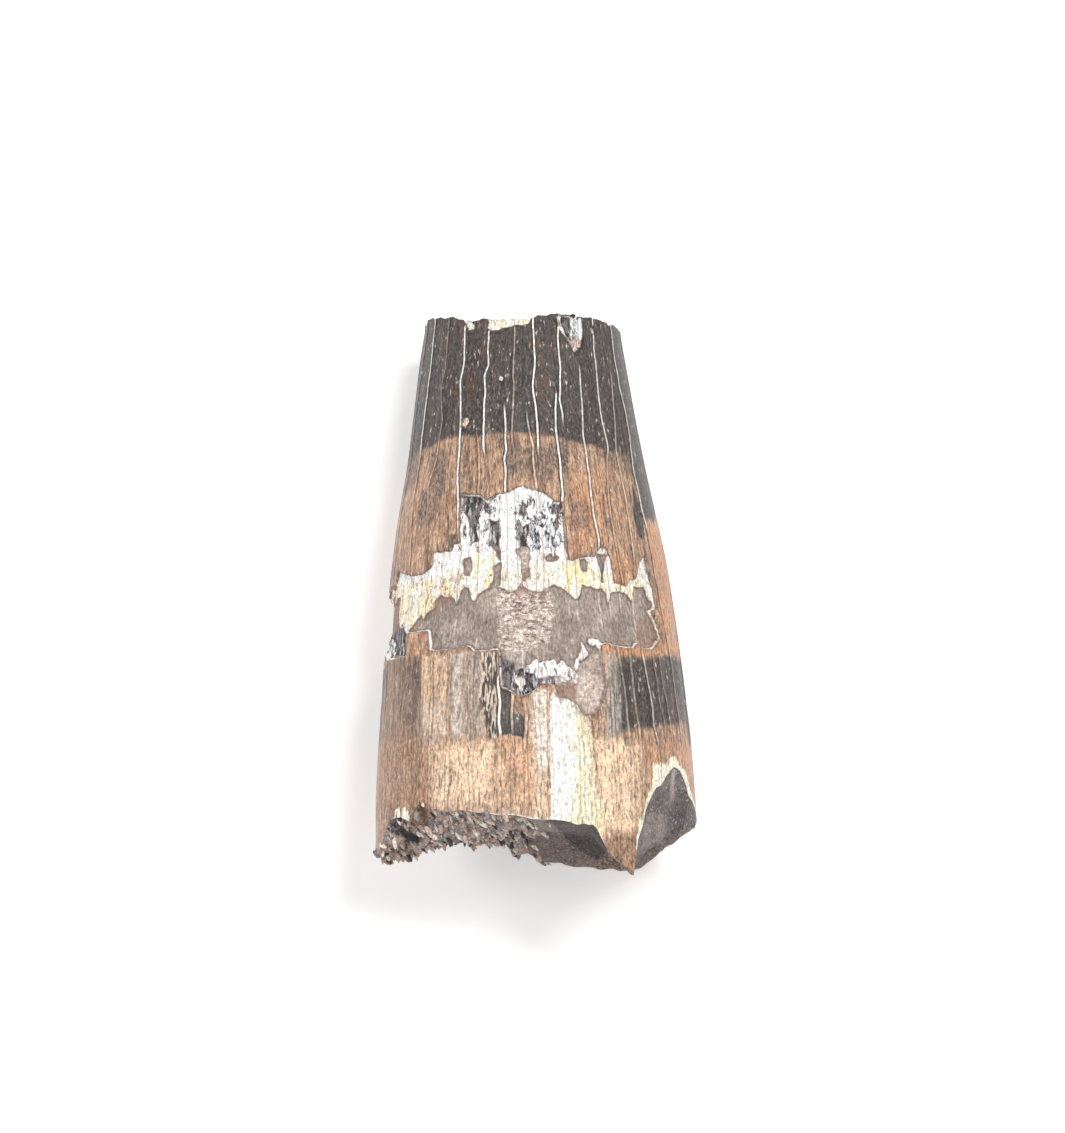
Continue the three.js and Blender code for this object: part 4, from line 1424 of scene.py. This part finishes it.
# %% Crown finish, with each field's stretch, scale, detail, roughness and distortion
FOSSIL_IOR = 1.55
FIELDS = {
    "streaks": ((1, 1, 0.14), 4.0, 4.0, 0.65),
    "threads": ((1, 1, 0.22), 9.0, 3.0, 0.6, 0.3),
    "dashes": ((1, 1, 0.16), 12.5, 2.0, 0.5, 0.3),
    "shreds": ((1, 1, 0.25), 6.0, 4.0, 0.7),
    "shards": ((1, 1, 0.45), 4.5, 4.0, 0.7, 0.4),
    "cloud": ((1, 1, 0.6), 0.9, 4.0, 0.65),
    "grain": ((1, 1, 0.6), 9.0, 4.0, 0.7),
    "flecks": ((1, 1, 0.45), 7.0, 2.0, 0.5, 0.4),
}


def crown_finish():
    f = Finish("crown_layers", IOR=FOSSIL_IOR)
    fields = {name: f.noise(*settings) for name, settings in FIELDS.items()}
    grain = fields["grain"]
    ragged_edge = (fields["shards"] - 0.5) * 0.1 + (grain - 0.5) * 0.06
    lost = f.attribute("enamel_lost") + ragged_edge * 0.5
    bare = f.attribute("white_lost") + ragged_edge
    gone = f.ramp(lost, -0.01, 0.01)
    under = f.blend(f.ramp(bare, -0.012, 0.012), white_colour(f, fields), dentine_colour(f, fields))
    fringe = (1 - f.ramp(bare.math("ABSOLUTE"), 0.008, 0.035)) * 0.6
    under = f.over(fringe, under, "edge of white")
    # A thin dark line of painted shade runs along the step where the enamel broke off.
    outline = (1 - f.ramp(lost.math("ABSOLUTE"), 0.01, 0.035)) * 0.6
    colour = f.over(outline, f.blend(gone, enamel_colour(f, fields), under), "enamel step shade")
    f.feed("Base Color", f.contrast(colour, f.ramp(grain, 0.34, 0.66, 0.62, 1.32), 1.04))
    f.feed("Roughness", 0.28 + grain * 0.2 + gone * 0.26)
    wrinkle = f.noise((1, 1, 0.4), 5.0, 3.0, 0.6, 0.5)
    fine = wrinkle + grain * 0.6 + fields["dashes"] * 0.6 + gone * fields["shards"]
    f.feed("Normal", f.bump(fine, 0.7, 0.07))
    return f.material


# %% [markdown]
# ## Fracture faces
#
# The root break is dark, with shards of cemented sediment at the left and two smooth facets that
# meet in a crest at the right. The struck scar is dark grey with a pale streak. The photograph
# shows the tip break edge-on, so its face follows such teeth: dentine with faint growth rings
# round a dark pulp spot, and the enamel as a thin dark rim.

# %% Finishes of the breaks
UNSTRETCHED = (1, 1, 1)
RING_TURNS = 46


def facet_colour(f, grit, fine):
    # Both facets are the same dentine; the darker paint where the facet spot lies is painted shade of the
    # facet turned from the light.
    facet = f.between(f.ramp(grit, 0.35, 0.65), "facet")
    facet = f.over(f.ramp(fine, 0.42, 0.35, 0, 0.7), facet, "facet pit")
    facet = f.over(f.ramp(fine, 0.58, 0.64, 0, 0.7), facet, "facet grit")
    dark = f.between(f.ramp(grit, 0.4, 0.6), "shaded facet")
    dark = f.over(f.ramp(fine, 0.62, 0.66, 0, 0.8), dark, "shaded facet grit")
    return f.blend(f.attribute("facet"), facet, dark)


def scar_colour(f, lump, grit, fine):
    struck = f.between(f.ramp(grit, 0.36, 0.62), "struck scar")
    struck = f.over(f.ramp(lump, 0.55, 0.6, 0, 0.5), struck, "scar lump")
    foot = f.between(f.ramp(grit, 0.4, 0.6), "foot of the scar")
    struck = f.blend(f.attribute("scar_light") * 0.8, struck, foot)
    struck = f.over(f.attribute("scar_dark") * 0.7, struck, "scar shade")
    struck = f.over(f.attribute("scar_streak"), struck, "scar streak")
    struck = f.over(f.ramp(fine, 0.42, 0.34, 0, 0.7), struck, "scar pit")
    return f.over(f.ramp(fine, 0.6, 0.65, 0, 0.8), struck, "scar grit")


def root_finish():
    f = Finish("root_break", IOR=FOSSIL_IOR)
    lump = f.noise(UNSTRETCHED, 1.3, 4.0, 0.6)
    grit = f.noise(UNSTRETCHED, 3.6, 5.0, 0.75, 0.8)
    fine = f.noise(UNSTRETCHED, 9.0, 3.0, 0.6)
    crumbs = f.between(f.ramp(grit, 0.4, 0.5), "crumbs")
    crumbs = f.over(f.ramp(lump + (fine - 0.5) * 0.3, 0.5, 0.56, 0, 0.8), crumbs, "peach crumb")
    crumbs = f.over(f.ramp(fine, 0.56, 0.62, 0, 0.85), crumbs, "cream crumb")
    speckle = f.ramp(grit, 0.4, 0.6)
    crumbs = f.blend(f.attribute("rusty") * 0.6, crumbs, f.between(speckle, "rusty crumbs"))
    crumbs = f.blend(f.attribute("stain") * 0.85, crumbs, f.between(speckle, "stain"))
    face = f.blend(f.attribute("crumbly"), facet_colour(f, grit, fine), crumbs)
    rough_foot = f.between(f.ramp(fine, 0.45, 0.6), "tongue")
    face = f.blend(f.attribute("tongue") * 0.9, face, rough_foot)
    dark_lump = f.between(f.ramp(fine, 0.5, 0.62), "pit lump")
    face = f.blend(f.attribute("pit_lump") * 0.9, face, dark_lump)
    # Near-black painted shade in the crevice.
    face = f.over(f.attribute("crevice_shade"), face, "crevice_shade")
    scar = f.attribute("scar")
    f.feed("Base Color", f.blend(f.ramp(scar, 0.3, 0.7), face, scar_colour(f, lump, grit, fine)))
    f.feed("Roughness", 0.55 - scar * 0.2 + grit * 0.2)
    f.feed("Normal", f.bump(grit + lump + fine * 0.4, 0.7, 0.2))
    return f.material


def tip_finish():
    """Growth rings of dentine round a dark pulp spot, with the enamel as a dark rim."""
    f = Finish("tip_break", IOR=FOSSIL_IOR)
    lump = f.noise(UNSTRETCHED, 0.9, 4.0, 0.6)
    grit = f.noise(UNSTRETCHED, 6.0, 4.0, 0.7)
    way_out = f.attribute("way_out") + (lump - 0.5) * 0.16
    dentine = f.between(f.ramp(lump, 0.35, 0.65), "tip dentine")
    rings = (way_out * RING_TURNS).math("SINE")
    dentine = f.over(f.ramp(rings, 0, 1, 0, 0.25), dentine, "growth ring")
    dentine = f.over(f.ramp(grit, 0.56, 0.64, 0, 0.7), dentine, "tip grit")
    dentine = f.over(f.ramp(grit, 0.4, 0.32, 0, 0.6), dentine, "tip cream")
    dentine = f.over(f.ramp(way_out, 0.24, 0.14), dentine, "pulp")
    dentine = f.over(f.ramp(way_out, 0.8, 0.9, 0, 0.7), dentine, "outer dentine")
    enamel = f.between(f.ramp(grit, 0.4, 0.6), "tip enamel")
    rim = f.ramp(f.attribute("way_out") + (grit - 0.5) * 0.03, 0.935, 0.955)
    f.feed("Base Color", f.blend(rim, dentine, enamel))
    f.feed("Roughness", 0.5 + grit * 0.2)
    f.feed("Normal", f.bump(grit + lump + rings * 0.1, 0.5, 0.14))
    return f.material


for material in (crown_finish(), root_finish(), tip_finish()):
    tooth_mesh.materials.append(material)
print("finishes:", [m.name for m in tooth_mesh.materials])

# %% [markdown]
# ## Grains of sediment
#
# Shards of cemented sediment stick in the pulp and along the left of the root break, most of them
# pointing down and to the right. A Geometry Nodes tree scatters squashed pebbles over the crumbly
# part of the face, but not in its crevice or on the lump in the pit. The seed is fixed, and the
# result becomes one plain mesh.


# %% Finish of the grains
def grain_finish():
    f = Finish("sediment", IOR=1.5, Roughness=0.75)
    tone = f.attribute("grain_tone")
    dusty = f.node("ShaderNodeTexNoise", {"normalize": True}, {
        "Vector": f.node("ShaderNodeTexCoord", output="Object"), "Scale": 9000.0, "Detail": 3.0,
    })
    stone = f.between(f.ramp(tone, 0.14, 0.18), "stone")
    stone = f.over(f.ramp(tone, 0.4, 0.45), stone, "peach stone")
    stone = f.over(f.ramp(tone, 0.7, 0.75), stone, "white stone")
    f.feed("Base Color", f.over(f.ramp(dusty, 0.4, 0.7, 0, 0.6), stone, "stone dust"))
    f.feed("Normal", f.bump(dusty, 0.5, 0.04))
    return f.material


# %% The tree that scatters them
LEAST_TURN, MOST_TURN = (-0.4, 0, 0.1), (0.4, 3.1, 0.9)
TURN_SEED, TONE_SEED = 5, 8
TREE_INPUTS = {
    "Geometry": "Geometry", "Grains per square metre": "Float", "Smallest": "Vector",
    "Largest": "Vector", "Seed": "Int",
}


def grain_tree(material):
    tree = bpy.data.node_groups.new("scatter_grains", "GeometryNodeTree")
    for name, kind in TREE_INPUTS.items():
        tree.interface.new_socket(name, in_out="INPUT", socket_type=f"NodeSocket{kind}")
    tree.interface.new_socket("Geometry", in_out="OUTPUT", socket_type="NodeSocketGeometry")

    def add(kind, settings=None, inputs=None):
        made = tree.nodes.new(kind)
        for name, value in (settings or {}).items():
            setattr(made, name, value)
        for name, value in (inputs or {}).items():
            if hasattr(value, "is_output"):
                tree.links.new(value, made.inputs[name])
            else:
                made.inputs[name].default_value = value
        return made

    given = add("NodeGroupInput").outputs
    grainy = add("GeometryNodeInputNamedAttribute", {"data_type": "FLOAT"}, {"Name": "grainy"})
    scatter = add("GeometryNodeDistributePointsOnFaces", {"distribute_method": "RANDOM"}, {
        "Mesh": given["Geometry"], "Density": given["Grains per square metre"], "Seed": given["Seed"],
        "Selection": grainy.outputs["Attribute"],
    })
    pebble = add("GeometryNodeMeshIcoSphere", None, {"Radius": 1.0, "Subdivisions": 2})
    size = add("FunctionNodeRandomValue", {"data_type": "FLOAT_VECTOR"}, {"Seed": given["Seed"]})
    for socket, source in ((0, "Smallest"), (1, "Largest")):
        tree.links.new(given[source], size.inputs[socket])
    turn = add("FunctionNodeRandomValue", {"data_type": "FLOAT_VECTOR"}, {
        0: LEAST_TURN, 1: MOST_TURN, "Seed": TURN_SEED,
    })
    placed = add("GeometryNodeInstanceOnPoints", None, {
        "Points": scatter.outputs["Points"], "Instance": pebble.outputs["Mesh"],
        "Scale": size.outputs["Value"], "Rotation": turn.outputs["Value"],
    })
    tone = add("FunctionNodeRandomValue", {"data_type": "FLOAT"}, {"Seed": TONE_SEED})
    toned = add("GeometryNodeStoreNamedAttribute", {"data_type": "FLOAT", "domain": "INSTANCE"}, {
        "Geometry": placed.outputs["Instances"], "Name": "grain_tone", "Value": tone.outputs[1],
    })
    real = add("GeometryNodeRealizeInstances", None, {"Geometry": toned.outputs["Geometry"]})
    done = add("GeometryNodeSetMaterial", None, {
        "Geometry": real.outputs["Geometry"], "Material": material,
    })
    add("NodeGroupOutput", None, {"Geometry": done.outputs["Geometry"]})
    return tree


# %% Scatter the grains and keep them as one mesh
GRAINS_PER_SQUARE_MM = 6.5
SMALLEST_GRAIN = (0.04, 0.08, 0.04)
LARGEST_GRAIN = (0.15, 0.4, 0.14)
SCATTER_SEED = 3
VERTICES_PER_GRAIN = 42
grain_settings = {
    "Grains per square metre": GRAINS_PER_SQUARE_MM * 1e6,
    "Smallest": [length / 1000 for length in SMALLEST_GRAIN],
    "Largest": [length / 1000 for length in LARGEST_GRAIN],
    "Seed": SCATTER_SEED,
}
carrier = bpy.data.objects.new("grain_carrier", tooth_mesh)
bpy.context.scene.collection.objects.link(carrier)
scatter = carrier.modifiers.new("scatter", "NODES")
scatter.node_group = grain_tree(grain_finish())
for item in scatter.node_group.interface.items_tree:
    if item.in_out == "INPUT" and item.name in grain_settings:
        scatter[item.identifier] = grain_settings[item.name]
evaluated = carrier.evaluated_get(bpy.context.evaluated_depsgraph_get())
grain_mesh = bpy.data.meshes.new_from_object(evaluated)
carrier.modifiers.clear()
bpy.data.objects.remove(carrier)
grain_mesh.polygons.foreach_set("use_smooth", np.ones(len(grain_mesh.polygons), bool))
grains = bpy.data.objects.new("sediment_grains", grain_mesh)
bpy.context.scene.collection.objects.link(grains)
grain_count = len(grain_mesh.vertices) // VERTICES_PER_GRAIN
print("grains:", grain_count, "with", len(grain_mesh.polygons), "triangles")

# %% Hand the dressed tooth to the frame
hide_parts("tooth")
for piece in (tooth, grains):
    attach(piece, "root")

# %% [markdown]
# ## Table and light
#
# A plain, nearly white table, and soft studio light: a panel overhead and to the right whose
# reflection runs down the crown, a weaker one at the left, and a bright even sky.


# %% Table
TABLE_HALF = 0.6
TABLE_WHITE = (0.95, 0.95, 0.95, 1)
TABLE_GLOW = 0.3


def pale_table():
    mesh = bpy.data.meshes.new("table")
    corners = [(-TABLE_HALF, -TABLE_HALF, 0), (TABLE_HALF, -TABLE_HALF, 0)]
    corners += [(TABLE_HALF, TABLE_HALF, 0), (-TABLE_HALF, TABLE_HALF, 0)]
    mesh.from_pydata(corners, [], [(0, 1, 2, 3)])
    f = Finish(
        "table_top", Roughness=0.9, Base_Color=TABLE_WHITE, Emission_Color=TABLE_WHITE,
        Emission_Strength=TABLE_GLOW,
    )
    mesh.materials.append(f.material)
    table = bpy.data.objects.new("table", mesh)
    bpy.context.scene.collection.objects.link(table)


pale_table()
print("table:", 2 * TABLE_HALF, "m wide")


# %% Lights
def panel(name, azimuth, elevation, distance, width, height, power):
    """A rectangular light that faces the tooth. Azimuth 0 is towards the tip, 90 to the right."""
    azimuth, elevation = math.radians(azimuth), math.radians(elevation)
    level = math.cos(elevation)
    direction = Vector((math.sin(azimuth) * level, math.cos(azimuth) * level, math.sin(elevation)))
    data = bpy.data.lights.new(name, "AREA")
    data.shape, data.size, data.size_y, data.energy = "RECTANGLE", width, height, power
    light = bpy.data.objects.new(name, data)
    light.location = direction * distance
    light.rotation_euler = (-direction).to_track_quat("-Z", "Y").to_euler()
    bpy.context.scene.collection.objects.link(light)


panel("light_overhead", azimuth=40, elevation=64, distance=0.4, width=0.12, height=0.06, power=0.8)
panel("light_left", azimuth=-80, elevation=42, distance=0.45, width=0.1, height=0.14, power=0.4)
SKY_STRENGTH = 0.54
world = bpy.data.worlds.new("sky")
world.use_nodes = True
sky = world.node_tree.nodes["Background"]
sky.inputs["Color"].default_value = (1, 1, 1, 1)
sky.inputs["Strength"].default_value = SKY_STRENGTH
bpy.context.scene.world = world
bpy.context.scene.view_settings.view_transform = "Standard"
print("lights:", [light.name for light in bpy.data.lights], "and a sky of", SKY_STRENGTH)
